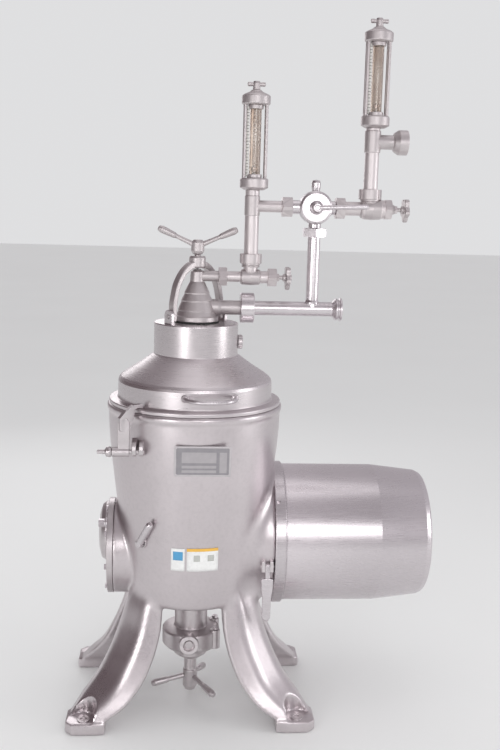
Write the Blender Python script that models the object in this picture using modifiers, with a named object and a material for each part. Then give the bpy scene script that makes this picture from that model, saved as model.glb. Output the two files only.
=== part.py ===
"""Disc cream separator on four splayed legs, with its drive, bowl, hood and outlet piping.

Metres, +Z up. The spindle stands on Z at X = Y = 0 of the machine's own frame, the motor points
to +X and the name plate faces -Y. An empty carries the machine so that the centre of its
bounding box's bottom is the origin of the world.
"""

import math

import bmesh
import bpy
from mathutils import Matrix, Vector

GAP = 0.0003
RUNNING = 0.0006

# Segments of turned pieces, by size.
LARGE = 28
MIDDLE = 14
SMALL = 10
TINY = 8

# Frame casting.
RIM_TOP = 0.8385
RIM_RADIUS = 0.233
BODY_BOTTOM = 0.310
CHAMBER_RADIUS = 0.200
CHAMBER_FLOOR = 0.605
FOOT_OUTER_X = 0.327
FOOT_INNER_X = 0.222
FOOT_OUTER_Y = 0.2335
FOOT_INNER_Y = 0.146
PAD_HEIGHT = 0.030
ARCH_TOP = 0.330

# Horizontal drive, behind the spindle.
SHAFT_Y = 0.058
SHAFT_Z = 0.456
SHAFT_RADIUS = 0.014
WHEEL_PITCH = 0.040
WORM_PITCH = 0.018
WHEEL_TEETH = 27
WORM_STARTS = 6
TOOTH_HEIGHT = 0.0017

# Left gear cover.
COVER_Y = 0.030
COVER_Z = 0.425
COVER_RADIUS = 0.130
BOSS_RADIUS = 0.127
BOSS_END = -0.213
COVER_THICKNESS = 0.016

# Motor, along +X.
ADAPTER_START = 0.217
ADAPTER_END = 0.246
ADAPTER_RADIUS = 0.197
SHROUD_RADIUS = 0.190
SHROUD_END = 0.648

# Hood.
GASKET_TOP = 0.8428
HOOD_FLANGE_RADIUS = 0.228
SKIRT_RADIUS = 0.2055
SHOULDER_Z = 0.906
NECK_RADIUS = 0.1114
NECK_BOTTOM = 0.9675
NECK_TOP = 1.053

# Piping, in the plane Y = 0.
SKIM_Z = 1.093
CREAM_Z = 1.175
BRANCH_Z = 1.360
CREAM_RISER_X = 0.140
COCK_X = 0.306
FEED_RISER_X = 0.450
CREAM_METER_Z = 1.401
FEED_METER_Z = 1.568
METER_RING_RADIUS = 0.037

# Angles about the spindle, in degrees.
BAIL_ANGLE = 40.0
HANDLE_ANGLES = {"front": 280.0, "rear": 100.0}

BAIL_PIVOT_Z = 1.072

# The clamps' pins lie along X, in front of the spindle on the left and behind it on the right.
CLAMP_SIDES = ("left", "right")
CLAMP_PIVOT_Y = -0.195
CLAMP_PIVOT_Z = 0.746

# The brake handle stands out of the frame's side, above the gear cover.
BRAKE_ANGLE = 228.0
BRAKE_R = 0.1975
BRAKE_Z = 0.492

# The hood's two handles reach equally far to the front and to the back.
MACHINE_X = -(SHROUD_END - FOOT_OUTER_X) / 2
MACHINE_Y = 0.0


def clear_scene():
    for thing in list(bpy.data.objects):
        bpy.data.objects.remove(thing, do_unlink=True)


def new_collection(name):
    made = bpy.data.collections.new(name)
    bpy.context.scene.collection.children.link(made)
    return made


clear_scene()
MODEL = new_collection("cream_separator")
CUTTERS = new_collection("cutters")
MACHINE = bpy.data.objects.new("machine", None)
MACHINE.location = (MACHINE_X, MACHINE_Y, 0)
MODEL.objects.link(MACHINE)


def material(name, colour, roughness, metallic=1.0):
    made = bpy.data.materials.new(name)
    made.use_nodes = True
    shader = made.node_tree.nodes["Principled BSDF"]
    shader.inputs["Base Color"].default_value = (*colour, 1)
    shader.inputs["Roughness"].default_value = roughness
    shader.inputs["Metallic"].default_value = metallic
    made.diffuse_color = (*colour, 1)
    return made


STEEL = material("satin_steel", (0.62, 0.59, 0.57), 0.34)
POLISHED = material("polished_steel", (0.72, 0.70, 0.68), 0.18)
CAST = material("cast_grey", (0.50, 0.47, 0.45), 0.50)
BLASTED = material("blasted_steel", (0.58, 0.55, 0.53), 0.48)
MACHINED = material("machined_steel", (0.55, 0.55, 0.56), 0.30)
BRONZE = material("bronze", (0.62, 0.42, 0.20), 0.35)
RUBBER = material("rubber", (0.04, 0.04, 0.04), 0.80, 0.0)
PLATE = material("etched_plate", (0.30, 0.30, 0.32), 0.40)
GLASS = material("glass", (0.75, 0.66, 0.58), 0.08, 0.0)
IRON = material("motor_iron", (0.16, 0.17, 0.18), 0.55)

ALONG = {
    "Z": (0, 0, 0),
    "X": (0, math.pi / 2, 0),
    "-X": (0, -math.pi / 2, 0),
    "Y": (-math.pi / 2, 0, 0),
    "-Y": (math.pi / 2, 0, 0),
}


def place(name, mesh, look, location=(0, 0, 0), rotation=(0, 0, 0)):
    """A named object on the machine, at a place in the machine's frame."""
    thing = bpy.data.objects.new(name, mesh)
    MODEL.objects.link(thing)
    thing.parent = MACHINE
    thing.location = location
    thing.rotation_euler = rotation
    mesh.materials.clear()
    mesh.materials.append(look)
    return thing


def boolean(thing, tools, operation):
    """Joins tools to a piece, or cuts them out of it, in one step."""
    group = bpy.data.collections.new(f"{thing.name}_{operation.lower()}")
    CUTTERS.children.link(group)
    for tool in tools:
        tool.hide_render = True
        tool.display_type = "WIRE"
        MODEL.objects.unlink(tool)
        group.objects.link(tool)
    step = thing.modifiers.new(operation.title(), "BOOLEAN")
    step.operation = operation
    step.operand_type = "COLLECTION"
    step.collection = group
    step.solver = "EXACT"
    return thing


def join(thing, *tools):
    return boolean(thing, tools, "UNION")


def cut(thing, *tools):
    return boolean(thing, tools, "DIFFERENCE")


def turned(name, look, profile, at=(0, 0, 0), along="Z", segments=MIDDLE, ring=False):
    """A turned piece. The profile holds (radius, height) down the outer side, and a ring closes it."""
    mesh = bpy.data.meshes.new(name)
    edges = [(i, i + 1) for i in range(len(profile) - 1)]
    if ring:
        edges.append((len(profile) - 1, 0))
    mesh.from_pydata([(radius, 0, height) for radius, height in profile], edges, [])
    rotation = ALONG[along] if isinstance(along, str) else along
    thing = place(name, mesh, look, at, rotation)
    screw = thing.modifiers.new("Turn", "SCREW")
    screw.steps = segments
    screw.render_steps = segments
    screw.use_merge_vertices = True
    screw.merge_threshold = 0.00001
    screw.use_smooth_shade = True
    return thing


def rod(name, look, radius, low, high, at=(0, 0, 0), along="Z", segments=SMALL):
    """A plain cylinder between two heights along its axis."""
    profile = [(0, high), (radius, high), (radius, low), (0, low)]
    return turned(name, look, profile, at, along, segments)


def sleeve(name, look, outer, inner, low, high, at=(0, 0, 0), along="Z", segments=MIDDLE):
    profile = [(outer, high), (outer, low), (inner, low), (inner, high)]
    return turned(name, look, profile, at, along, segments, ring=True)


def box(name, look, low, high, location=(0, 0, 0), rotation=(0, 0, 0)):
    mesh = bpy.data.meshes.new(name)
    shape = bmesh.new()
    bmesh.ops.create_cube(shape, size=1)
    size = Vector(high) - Vector(low)
    middle = (Vector(high) + Vector(low)) / 2
    shape.transform(Matrix.Translation(middle) @ Matrix.Diagonal((*size, 1)))
    shape.to_mesh(mesh)
    shape.free()
    return place(name, mesh, look, location, rotation)


def mesh_of_curve(thing, name):
    """The curve's evaluated mesh with its caps welded."""
    graph = bpy.context.evaluated_depsgraph_get()
    mesh = bpy.data.meshes.new_from_object(thing.evaluated_get(graph))
    shape = bmesh.new()
    shape.from_mesh(mesh)
    bmesh.ops.remove_doubles(shape, verts=shape.verts, dist=0.00001)
    shape.to_mesh(mesh)
    shape.free()
    mesh.name = name
    return mesh


def curve_object(name, points, closed):
    curve = bpy.data.curves.new(name, "CURVE")
    spline = curve.splines.new("POLY")
    spline.points.add(len(points) - 1)
    for knot, point in zip(spline.points, points):
        knot.co = (*point, 1)
    spline.use_cyclic_u = closed
    thing = bpy.data.objects.new(name + "_curve", curve)
    MODEL.objects.link(thing)
    return thing


def curve_mesh(name, thing):
    bpy.context.view_layer.update()
    mesh = mesh_of_curve(thing, name)
    bpy.data.objects.remove(thing, do_unlink=True)
    return mesh


def plate(name, look, outline, thickness, location=(0, 0, 0), rotation=(0, 0, 0)):
    """A flat outline in X and Y, given half its thickness to each side of Z = 0."""
    thing = curve_object(name, [(x, y, 0) for x, y in outline], closed=True)
    thing.data.dimensions = "2D"
    thing.data.fill_mode = "BOTH"
    thing.data.extrude = thickness / 2
    return place(name, curve_mesh(name, thing), look, location, rotation)


def wire(name, look, points, radius, location=(0, 0, 0), rotation=(0, 0, 0)):
    """A round bar along a smooth run of points."""
    thing = curve_object(name, points, closed=False)
    thing.data.dimensions = "3D"
    thing.data.bevel_depth = radius
    thing.data.bevel_resolution = 2
    thing.data.use_fill_caps = True
    return place(name, curve_mesh(name, thing), look, location, rotation)


def loft(name, look, rings):
    """A closed skin through rings of equally many points, listed from the lowest ring up."""
    mesh = bpy.data.meshes.new(name)
    count = len(rings[0])
    faces = [tuple(reversed(range(count)))]
    for level in range(len(rings) - 1):
        low = level * count
        high = low + count
        for i in range(count):
            j = (i + 1) % count
            faces.append((low + i, low + j, high + j, high + i))
    faces.append(tuple(range(len(rings) * count - count, len(rings) * count)))
    mesh.from_pydata([point for ring in rings for point in ring], [], faces)
    return place(name, mesh, look)


def around(angle, radius, height=0.0):
    """A point at an angle in degrees about the spindle."""
    turn = math.radians(angle)
    return (radius * math.cos(turn), radius * math.sin(turn), height)


# ---------------------------------------------------------------- frame casting


def leg_section(height, x_low, x_high, y_low, y_high, outer_cut, side_x, side_y):
    """A rectangle with cut corners, the outer one cut most, anticlockwise seen from above in every quadrant."""
    corner = 0.010
    points = [
        (x_low + corner, y_low),
        (x_high - corner, y_low),
        (x_high, y_low + corner),
        (x_high, y_high - outer_cut),
        (x_high - outer_cut, y_high),
        (x_low + corner, y_high),
        (x_low, y_high - corner),
        (x_low, y_low + corner),
    ]
    if side_x * side_y < 0:
        points.reverse()
    return [(side_x * x, side_y * y, height) for x, y in points]


LEG_SECTIONS = (
    # height, inner x, outer x, inner y, outer y, cut of the outer corner
    (0.0, FOOT_INNER_X, FOOT_OUTER_X, FOOT_INNER_Y, FOOT_OUTER_Y, 0.018),
    (PAD_HEIGHT, FOOT_INNER_X, FOOT_OUTER_X, FOOT_INNER_Y, FOOT_OUTER_Y, 0.018),
    (0.055, 0.180, 0.300, 0.116, 0.221, 0.040),
    (0.105, 0.134, 0.252, 0.086, 0.199, 0.056),
    (0.170, 0.102, 0.231, 0.076, 0.178, 0.058),
    (0.240, 0.083, 0.197, 0.064, 0.160, 0.056),
    (0.310, 0.078, 0.174, 0.056, 0.146, 0.050),
    (0.400, 0.070, 0.140, 0.050, 0.120, 0.036),
)


def make_leg(side_x, side_y, number):
    rings = [leg_section(*section, side_x, side_y) for section in LEG_SECTIONS]
    return loft(f"leg_{number}", CAST, rings)


def make_niche(side_x, side_y, number):
    """The round spot face that is sunk into a leg above its foot pad, and the anchor bolt's hole."""
    spot_at = (side_x * 0.283, side_y * 0.203, 0)
    spot = rod(f"niche_{number}", CAST, 0.036, PAD_HEIGHT, 0.180, spot_at, "Z", MIDDLE)
    hole = rod(f"anchor_hole_{number}", CAST, 0.009, -0.01, 0.05, (side_x * 0.279, side_y * 0.205, 0), "Z", TINY)
    return spot, hole


def clamp_turn(side):
    """The right clamp is the left one turned half way around the spindle."""
    return 0.0 if side == "left" else math.pi


def clamp_place(side, x, y, z):
    turn = clamp_turn(side)
    return (x * math.cos(turn), y * math.cos(turn), z)


def make_clamp_ears(side):
    """Two ears on the frame that hold a hood clamp's pin."""
    ears = []
    for number, (low, high) in enumerate(((-0.1600, -0.1485), (-0.1420, -0.1305))):
        outline = [
            # forward of the spindle and height
            (-0.1560, 0.7300),
            (-0.1950, 0.7340),
            (-0.2060, 0.7400),
            (-0.2085, 0.7520),
            (-0.2060, 0.7640),
            (-0.1950, 0.7710),
            (-0.1560, 0.7760),
        ]
        location = clamp_place(side, (low + high) / 2, 0, 0)
        rotation = (math.pi / 2, 0, math.pi / 2 + clamp_turn(side))
        ears.append(plate(f"ear_{side}_{number}", CAST, outline, high - low, location, rotation))
    return ears


def make_frame():
    profile = [
        (0, RIM_TOP),
        (RIM_RADIUS, RIM_TOP),
        (RIM_RADIUS, 0.822),
        (0.2285, 0.815),
        (0.2255, 0.745),
        (0.2150, 0.645),
        (0.2030, 0.540),
        (0.1890, 0.420),
        (0.1790, 0.345),
        (0.1720, BODY_BOTTOM),
        (0, BODY_BOTTOM),
    ]
    frame = turned("frame", CAST, profile, segments=LARGE)
    cover_axis = (0, COVER_Y, COVER_Z)
    shaft_axis = (0, SHAFT_Y, SHAFT_Z)
    motor_boss = [(0, ADAPTER_START - GAP), (0.184, ADAPTER_START - GAP), (0.176, 0.10), (0, 0.10)]
    solids = [
        rod("cover_boss", CAST, BOSS_RADIUS, BOSS_END, -0.10, cover_axis, "X", LARGE),
        turned("motor_boss", CAST, motor_boss, shaft_axis, "X", LARGE),
        box("lever_lug", CAST, (0.181, -0.138, 0.405), (0.213, -0.095, 0.437)),
    ]
    holes = [
        rod("chamber", CAST, CHAMBER_RADIUS, CHAMBER_FLOOR, 0.9, segments=LARGE),
        rod("gear_room", CAST, 0.145, ARCH_TOP, CHAMBER_FLOOR - 0.03, segments=LARGE),
        rod("cover_mouth", CAST, 0.096, -0.25, -0.05, cover_axis, "X", MIDDLE),
        rod("clutch_room", CAST, 0.155, 0.158, 0.25, shaft_axis, "X", LARGE),
        rod("shaft_bore", CAST, 0.030 + GAP, 0.05, 0.2, shaft_axis, "X", MIDDLE),
        rod("spindle_bore", CAST, 0.032 + GAP, 0.5, 0.7, segments=MIDDLE),
        rod("foot_bore", CAST, 0.036 + GAP, 0.2, 0.4, segments=20),
        box("lever_slot", CAST, (0.1905, -0.16, 0.39), (0.2035, -0.1145, 0.45)),
        rod("lever_pin_hole", CAST, 0.0042, 0.175, 0.230, (0, -0.1305, 0.421), "X", TINY),
        rod("brake_bore", CAST, 0.0106, -0.04, 0.05, brake_at(0), brake_turn(), SMALL),
    ]
    quadrants = ((1, 1), (-1, 1), (-1, -1), (1, -1))
    for number, (side_x, side_y) in enumerate(quadrants):
        solids.append(make_leg(side_x, side_y, number))
        holes.extend(make_niche(side_x, side_y, number))
    for side in CLAMP_SIDES:
        solids.extend(make_clamp_ears(side))
        at = clamp_place(side, 0, CLAMP_PIVOT_Y, CLAMP_PIVOT_Z)
        turn = (0, math.pi / 2, clamp_turn(side))
        holes.append(rod(f"ear_bore_{side}", CAST, 0.0064, -0.17, -0.12, at, turn, SMALL))
    join(frame, *solids)
    cut(frame, *holes)


def make_gear_cover():
    at = (0, COVER_Y, COVER_Z)
    outer = BOSS_END - GAP
    face = outer - COVER_THICKNESS
    profile = [
        (0, outer),
        (COVER_RADIUS, outer),
        (COVER_RADIUS, face + 0.003),
        (COVER_RADIUS - 0.004, face),
        (0, face),
    ]
    cover = turned("gear_cover", CAST, profile, at, "X", LARGE)
    # The bearing's seat stands inside on the shaft's axis.
    seat_at = (0, SHAFT_Y, SHAFT_Z)
    join(cover, rod("cover_seat", CAST, 0.045, outer - 0.004, -0.182, seat_at, "X", MIDDLE))
    cut(cover, rod("cover_bore", CAST, 0.030 + GAP, -0.208, -0.15, seat_at, "X", MIDDLE))
    cut(cover, rod("plug_hole", CAST, 0.010 + GAP, -0.25, -0.2, PLUG_AT, "X", SMALL))
    cap_profile = [
        (0, face - GAP),
        (0.082, face - GAP),
        (0.082, face - 0.008),
        (0.074, face - 0.020),
        (0.052, face - 0.026),
        (0, face - 0.029),
    ]
    turned("gear_cover_cap", CAST, cap_profile, seat_at, "X", LARGE)
    plug_profile = [
        (0, -0.2135),
        (0.010, -0.2135),
        (0.010, face - GAP),
        (0.014, face - GAP),
        (0.014, face - 0.018),
        (0.009, face - 0.026),
        (0, face - 0.026),
    ]
    turned("oil_filler_plug", STEEL, plug_profile, PLUG_AT, "X", SMALL)


PLUG_AT = (0, -0.035, 0.508)


def make_name_plate():
    """The plate is tilted back to lie on the tapered front of the frame."""
    half_width, half_height, thickness = 0.071, 0.040, 0.0016
    tilt = math.radians(6.0)
    at = (0.017, -0.2262, 0.731)
    box(
        "name_plate",
        PLATE,
        (-half_width, -thickness, -half_height),
        (half_width, 0, half_height),
        at,
        (tilt, 0, 0),
    )


def brake_at(out):
    return around(BRAKE_ANGLE, BRAKE_R + out, BRAKE_Z)


def brake_turn():
    return (0, math.pi / 2, math.radians(BRAKE_ANGLE))


def make_brake_handle():
    """A pin in the frame's side, with a bright rod that leans up and to the right."""
    pin = rod("brake_handle", POLISHED, 0.0098, -0.030, 0.020, brake_at(0), brake_turn(), SMALL)
    grip = [(0, 0.078), (0.0055, 0.076), (0.0082, 0.070), (0.0078, 0.0), (0, 0.0)]
    lean = (math.radians(-34), math.radians(4), math.radians(BRAKE_ANGLE))
    join(pin, turned("brake_grip", POLISHED, grip, brake_at(0.0125), lean, TINY))


# ---------------------------------------------------------------- drive


def gear_outline(teeth, pitch, narrow, wide):
    """Tip and root corners of straight-sided teeth, with a tooth centred on angle zero."""
    step = 2 * math.pi / teeth
    points = []
    for tooth in range(teeth):
        for radius, part in (
            (pitch - TOOTH_HEIGHT, -wide),
            (pitch + TOOTH_HEIGHT, -narrow),
            (pitch + TOOTH_HEIGHT, narrow),
            (pitch - TOOTH_HEIGHT, wide),
        ):
            angle = (tooth + part / 2) * step
            points.append((radius, angle))
    return points


def helical_gear(name, look, outline, half_width, twist, start, layers, at, along):
    """The outline carried along its axis while it turns by twist radians for each metre."""
    rings = []
    for layer in range(layers + 1):
        height = half_width * (2 * layer / layers - 1)
        turn = start + twist * height
        ring = [
            (radius * math.cos(angle + turn), radius * math.sin(angle + turn), height)
            for radius, angle in outline
        ]
        rings.append(ring)
    gear = loft(name, look, rings)
    gear.location = at
    gear.rotation_euler = ALONG[along]
    return gear


def make_gears():
    """A crossed helical pair: their tooth lines are parallel where they meet, in front of the wheel."""
    ratio = WHEEL_TEETH / WORM_STARTS
    wheel_slope = WHEEL_PITCH / (ratio * WORM_PITCH)
    wheel_twist = wheel_slope / WHEEL_PITCH
    worm_twist = 1 / (wheel_slope * WORM_PITCH)
    wheel_outline = gear_outline(WHEEL_TEETH, WHEEL_PITCH, 0.20, 0.62)
    worm_outline = gear_outline(WORM_STARTS, WORM_PITCH, 0.20, 0.62)
    gap_forward = -math.pi / 2 + math.pi / WHEEL_TEETH
    at = (0, SHAFT_Y, SHAFT_Z)
    wheel = helical_gear(
        "worm_wheel", BRONZE, wheel_outline, 0.011, wheel_twist, gap_forward, 2, at, "X"
    )
    cut(wheel, rod("wheel_bore", BRONZE, SHAFT_RADIUS + GAP, -0.05, 0.05, at, "X", MIDDLE))
    at = (0, 0, SHAFT_Z)
    worm = helical_gear(
        "worm", MACHINED, worm_outline, 0.015, worm_twist, math.pi / 2, 12, at, "Z"
    )
    cut(worm, rod("worm_bore", MACHINED, 0.0125 + GAP, -0.05, 0.05, at, "Z", MIDDLE))


def make_drive():
    at = (0, SHAFT_Y, SHAFT_Z)
    rod("wheel_shaft", MACHINED, SHAFT_RADIUS, -0.2035, 0.196, at, "X", MIDDLE)
    make_gears()
    inner = SHAFT_RADIUS + RUNNING
    sleeve("shaft_bearing_left", MACHINED, 0.030, inner, -0.206, -0.188, at, "X")
    sleeve("shaft_bearing_right", MACHINED, 0.030, inner, 0.140, 0.156, at, "X")
    drum = [
        (0.110, 0.240),
        (0.110, 0.168),
        (SHAFT_RADIUS + GAP, 0.168),
        (SHAFT_RADIUS + GAP, 0.180),
        (0.098, 0.180),
        (0.098, 0.240),
    ]
    turned("clutch_drum", MACHINED, drum, at, "X", MIDDLE, ring=True)
    hub = [
        (0.094, 0.232),
        (0.094, 0.200),
        (SHAFT_RADIUS + GAP, 0.200),
        (SHAFT_RADIUS + GAP, 0.232),
    ]
    turned("clutch_hub", MACHINED, hub, at, "X", MIDDLE, ring=True)
    rotor = [
        (0, 0.596),
        (SHAFT_RADIUS, 0.596),
        (SHAFT_RADIUS, 0.490),
        (0.0770, 0.488),
        (0.0770, 0.320),
        (SHAFT_RADIUS, 0.318),
        (SHAFT_RADIUS, 0.1975),
        (0, 0.1975),
    ]
    turned("motor_rotor", IRON, rotor, at, "X", MIDDLE)
    stator = [
        (0.150, 0.520),
        (0.150, 0.262),
        (0.172, 0.262),
        (0.172, 0.2480),
        (0.030, 0.2480),
        (0.030, 0.262),
        (0.0815, 0.280),
        (0.0815, 0.505),
        (0.020, 0.505),
        (0.020, 0.520),
    ]
    turned("motor_stator", IRON, stator, at, "X", MIDDLE, ring=True)
    fan = sleeve("motor_fan", IRON, 0.045, SHAFT_RADIUS + GAP, 0.545, 0.575, at, "X")
    blades = []
    for blade in range(6):
        turn = math.radians(60 * blade)
        low, high = (0.547, -0.002, 0.035), (0.573, 0.002, 0.135)
        blades.append(box(f"fan_blade_{blade}", IRON, low, high, at, (turn, 0, 0)))
    join(fan, *blades)
    adapter = [
        (ADAPTER_RADIUS, ADAPTER_END - 0.002),
        (ADAPTER_RADIUS, ADAPTER_START + 0.002),
        (ADAPTER_RADIUS - 0.002, ADAPTER_START),
        (0.130, ADAPTER_START),
        (0.130, ADAPTER_END),
        (ADAPTER_RADIUS - 0.002, ADAPTER_END),
    ]
    turned("motor_adapter", STEEL, adapter, at, "X", LARGE, ring=True)
    wall = 0.003
    shroud = [
        (0, SHROUD_END),
        (0.150, SHROUD_END),
        (0.168, SHROUD_END - 0.006),
        (0.175, SHROUD_END - 0.020),
        (SHROUD_RADIUS, 0.500),
        (SHROUD_RADIUS, ADAPTER_END + GAP),
        (SHROUD_RADIUS - wall, ADAPTER_END + GAP),
        (SHROUD_RADIUS - wall, 0.500),
        (0.172, SHROUD_END - 0.022),
        (0.150, SHROUD_END - wall),
        (0, SHROUD_END - wall),
    ]
    turned("motor_shroud", STEEL, shroud, at, "X", LARGE)


def make_motor_lever():
    """The lever that hangs in a slotted lug in front of the motor's flange."""
    at = (0.197, -0.1305, 0.421)
    outline = [
        (-0.008, 0.006),
        (-0.011, -0.010),
        (-0.014, -0.030),
        (-0.016, -0.110),
        (-0.016, -0.146),
        (-0.009, -0.150),
        (-0.004, -0.146),
        (-0.003, -0.110),
        (-0.001, -0.030),
        (0.006, -0.010),
        (0.006, 0.004),
        (0.000, 0.008),
    ]
    lever = plate("motor_clamp_lever", POLISHED, outline, 0.012, at, (math.pi / 2, 0, math.pi / 2))
    join(lever, rod("lever_pin", POLISHED, 0.0038, -0.018, 0.018, at, "X", TINY))
    join(lever, box("lever_body", POLISHED, (0.1800, -0.1465, 0.3560), (0.2125, -0.1345, 0.3920)))
    join(lever, box("lever_tail", POLISHED, (0.1845, -0.1465, 0.2760), (0.2075, -0.1345, 0.3570)))


# ---------------------------------------------------------------- spindle and bowl


def make_spindle():
    spindle = [
        (0, 0.700),
        (0.014, 0.700),
        (0.018, 0.640),
        (0.018, 0.632),
        (0.014, 0.628),
        (0.014, 0.500),
        (0.0125, 0.498),
        (0.0125, 0.330),
        (0.010, 0.320),
        (0.010, 0.186),
        (0, 0.180),
    ]
    turned("spindle", MACHINED, spindle, segments=MIDDLE)
    sleeve("top_bearing", MACHINED, 0.032, 0.014 + RUNNING, 0.577, 0.604)
    sleeve("bottom_bearing", MACHINED, 0.022, 0.010 + RUNNING, 0.200, 0.222)
    housing = [
        (0.036, 0.345),
        (0.036, BODY_BOTTOM - GAP),
        (0.058, BODY_BOTTOM - GAP),
        (0.058, 0.296),
        (0.045, 0.290),
        (0.045, 0.203),
        (0.0765, 0.199),
        (0.0790, 0.194),
        (0.0790, 0.156),
        (0.070, 0.146),
        (0.046, 0.136),
        (0.046, 0.124),
        (0.030, 0.112),
        (0.0185, 0.112),
        (0.0185, 0.165),
        (0.0115, 0.176),
        (0.0115, 0.196),
        (0.022 + GAP, 0.196),
        (0.022 + GAP, 0.345),
    ]
    body = turned("bottom_bearing_housing", CAST, housing, segments=20, ring=True)
    port = [(0, 0.086), (0.012, 0.086), (0.012, 0.080), (0.021, 0.080), (0.021, 0.060), (0, 0.060)]
    join(body, turned("housing_port", CAST, port, (-0.006, 0, 0.176), "-Y", SMALL))
    for number, angle in enumerate((330, 30)):
        lug = rod(f"housing_lug_{number}", CAST, 0.014, 0.150, 0.204, around(angle, 0.076), "Z", TINY)
        join(body, lug)
    screw = [
        (0, 0.160),
        (0.015, 0.160),
        (0.0175, 0.155),
        (0.0175, 0.072),
        (0.0200, 0.070),
        (0.0200, 0.022),
        (0.0140, 0.010),
        (0, 0.010),
    ]
    handle = turned("height_screw", CAST, screw, segments=SMALL)
    for number, angle in enumerate((187, 307, 67)):
        arm = [
            (0, 0.112),
            (0.006, 0.110),
            (0.0085, 0.100),
            (0.0065, 0.066),
            (0.0050, 0.060),
            (0.0060, 0.010),
            (0, 0.010),
        ]
        rotation = (0, math.radians(102), math.radians(angle))
        join(handle, turned(f"screw_arm_{number}", CAST, arm, (0, 0, 0.054), rotation, TINY))


def make_bowl():
    body = [
        (0.160, 0.842),
        (0.160, 0.692),
        (0.150, 0.674),
        (0.050, 0.656),
        (0.028, 0.650),
        (0.0192, 0.650),
        (0.0152, 0.7015),
        (0.034, 0.7015),
        (0.045, 0.692),
        (0.134, 0.698),
        (0.148, 0.712),
        (0.148, 0.842),
    ]
    turned("bowl_body", MACHINED, body, segments=24, ring=True)
    distributor = [
        (0.030, 0.915),
        (0.034, 0.800),
        (0.128, 0.712),
        (0.128, 0.706),
        (0.118, 0.706),
        (0.028, 0.790),
        (0.024, 0.915),
    ]
    turned("distributor", MACHINED, distributor, segments=MIDDLE, ring=True)
    discs = [(0.040, 0.920), (0.130, 0.832), (0.130, 0.742), (0.040, 0.830)]
    turned("disc_stack", MACHINED, discs, segments=MIDDLE, ring=True)
    hood = [
        (0.047, 0.975),
        (0.047, 0.943),
        (0.146, 0.848),
        (0.1475, 0.843),
        (0.1475, 0.826),
        (0.138, 0.826),
        (0.136, 0.840),
        (0.044, 0.930),
        (0.039, 0.938),
        (0.039, 0.975),
    ]
    turned("bowl_hood", MACHINED, hood, segments=24, ring=True)
    ring = [
        (0.174, 0.858),
        (0.176, 0.852),
        (0.176, 0.806),
        (0.1605, 0.806),
        (0.1605, 0.8485),
        (0.1510, 0.8485),
        (0.1510, 0.858),
    ]
    turned("bowl_lock_ring", MACHINED, ring, segments=24, ring=True)
    paring = [
        (0.018, 1.062),
        (0.018, 0.957),
        (0.036, 0.954),
        (0.036, 0.948),
        (0.016, 0.945),
        (0.013, 0.945),
        (0.013, 1.062),
    ]
    turned("paring_disc", STEEL, paring, segments=MIDDLE, ring=True)


# ---------------------------------------------------------------- hood and its fastenings


def make_hood():
    profile = [
        (NECK_RADIUS, NECK_TOP),
        (NECK_RADIUS, NECK_BOTTOM + 0.002),
        (NECK_RADIUS + 0.003, NECK_BOTTOM),
        (0.196, SHOULDER_Z + 0.006),
        (0.2041, SHOULDER_Z),
        (SKIRT_RADIUS, 0.853),
        (HOOD_FLANGE_RADIUS, 0.8505),
        (HOOD_FLANGE_RADIUS, GASKET_TOP + GAP),
        (0.1985, GASKET_TOP + GAP),
        (0.1975, 0.902),
        (0.105, 0.9645),
        (0.105, 1.046),
        (0.060, 1.046),
        (0.060, NECK_TOP),
    ]
    hood = turned("hood", STEEL, profile, segments=LARGE, ring=True)
    for number, side in enumerate((-1, 1)):
        outline = [(-0.015, -0.008), (0.015, -0.008), (0.015, 0.022)]
        for step in range(1, 8):
            turn = math.pi * step / 8
            outline.append((0.015 * math.cos(turn), 0.022 + 0.015 * math.sin(turn)))
        outline.append((-0.015, 0.022))
        at = around(BAIL_ANGLE, side * 0.093, NECK_TOP)
        rotation = (math.pi / 2, 0, math.radians(BAIL_ANGLE + 90))
        join(hood, plate(f"bail_ear_{number}", STEEL, outline, 0.010, at, rotation))
    at = (0, 0, BAIL_PIVOT_Z)
    rotation = (0, math.pi / 2, math.radians(BAIL_ANGLE))
    cut(hood, rod("bail_ear_bore", STEEL, 0.0062, -0.12, 0.12, at, rotation, SMALL))
    cut(hood, rod("neck_hole", STEEL, 0.0062, 0.09, 0.13, NECK_KNOB_AT, "X", SMALL))
    sleeve("hood_gasket", RUBBER, 0.222, 0.204, RIM_TOP + GAP, GASKET_TOP, segments=LARGE)


NECK_KNOB_AT = (0, 0, 1.002)


def make_hood_handle(side):
    """A bow of round bar between two points of the skirt."""
    turn = HANDLE_ANGLES[side]
    half_angle = 18.5
    height = 0.884
    points = []
    steps = 14
    for step in range(steps + 1):
        part = 2 * step / steps - 1
        rise = 0.046 * (1 - abs(part) ** 3.2)
        points.append(around(turn + half_angle * part, SKIRT_RADIUS + 0.0018 + rise, height))
    wire(f"hood_handle_{side}", POLISHED, points, 0.0055)


def make_neck_knob():
    profile = [
        (0, 0.1245),
        (0.016, 0.1245),
        (0.019, 0.1215),
        (0.019, NECK_RADIUS + GAP),
        (0.0058, NECK_RADIUS + GAP),
        (0.0058, 0.100),
        (0, 0.100),
    ]
    turned("neck_screw", CAST, profile, NECK_KNOB_AT, "X", SMALL)


FINGER_OUTLINE = (
    # reach from the clamp's plate and height
    (-0.008, 0.812),
    (0.006, 0.812),
    (0.016, 0.828),
    (0.028, 0.8545),
    (0.044, 0.8545),
    (0.045, 0.8528),
    (0.0535, 0.8528),
    (0.0545, 0.8580),
    (0.046, 0.8620),
    (0.030, 0.8615),
    (0.012, 0.848),
    (-0.008, 0.838),
)


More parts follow.
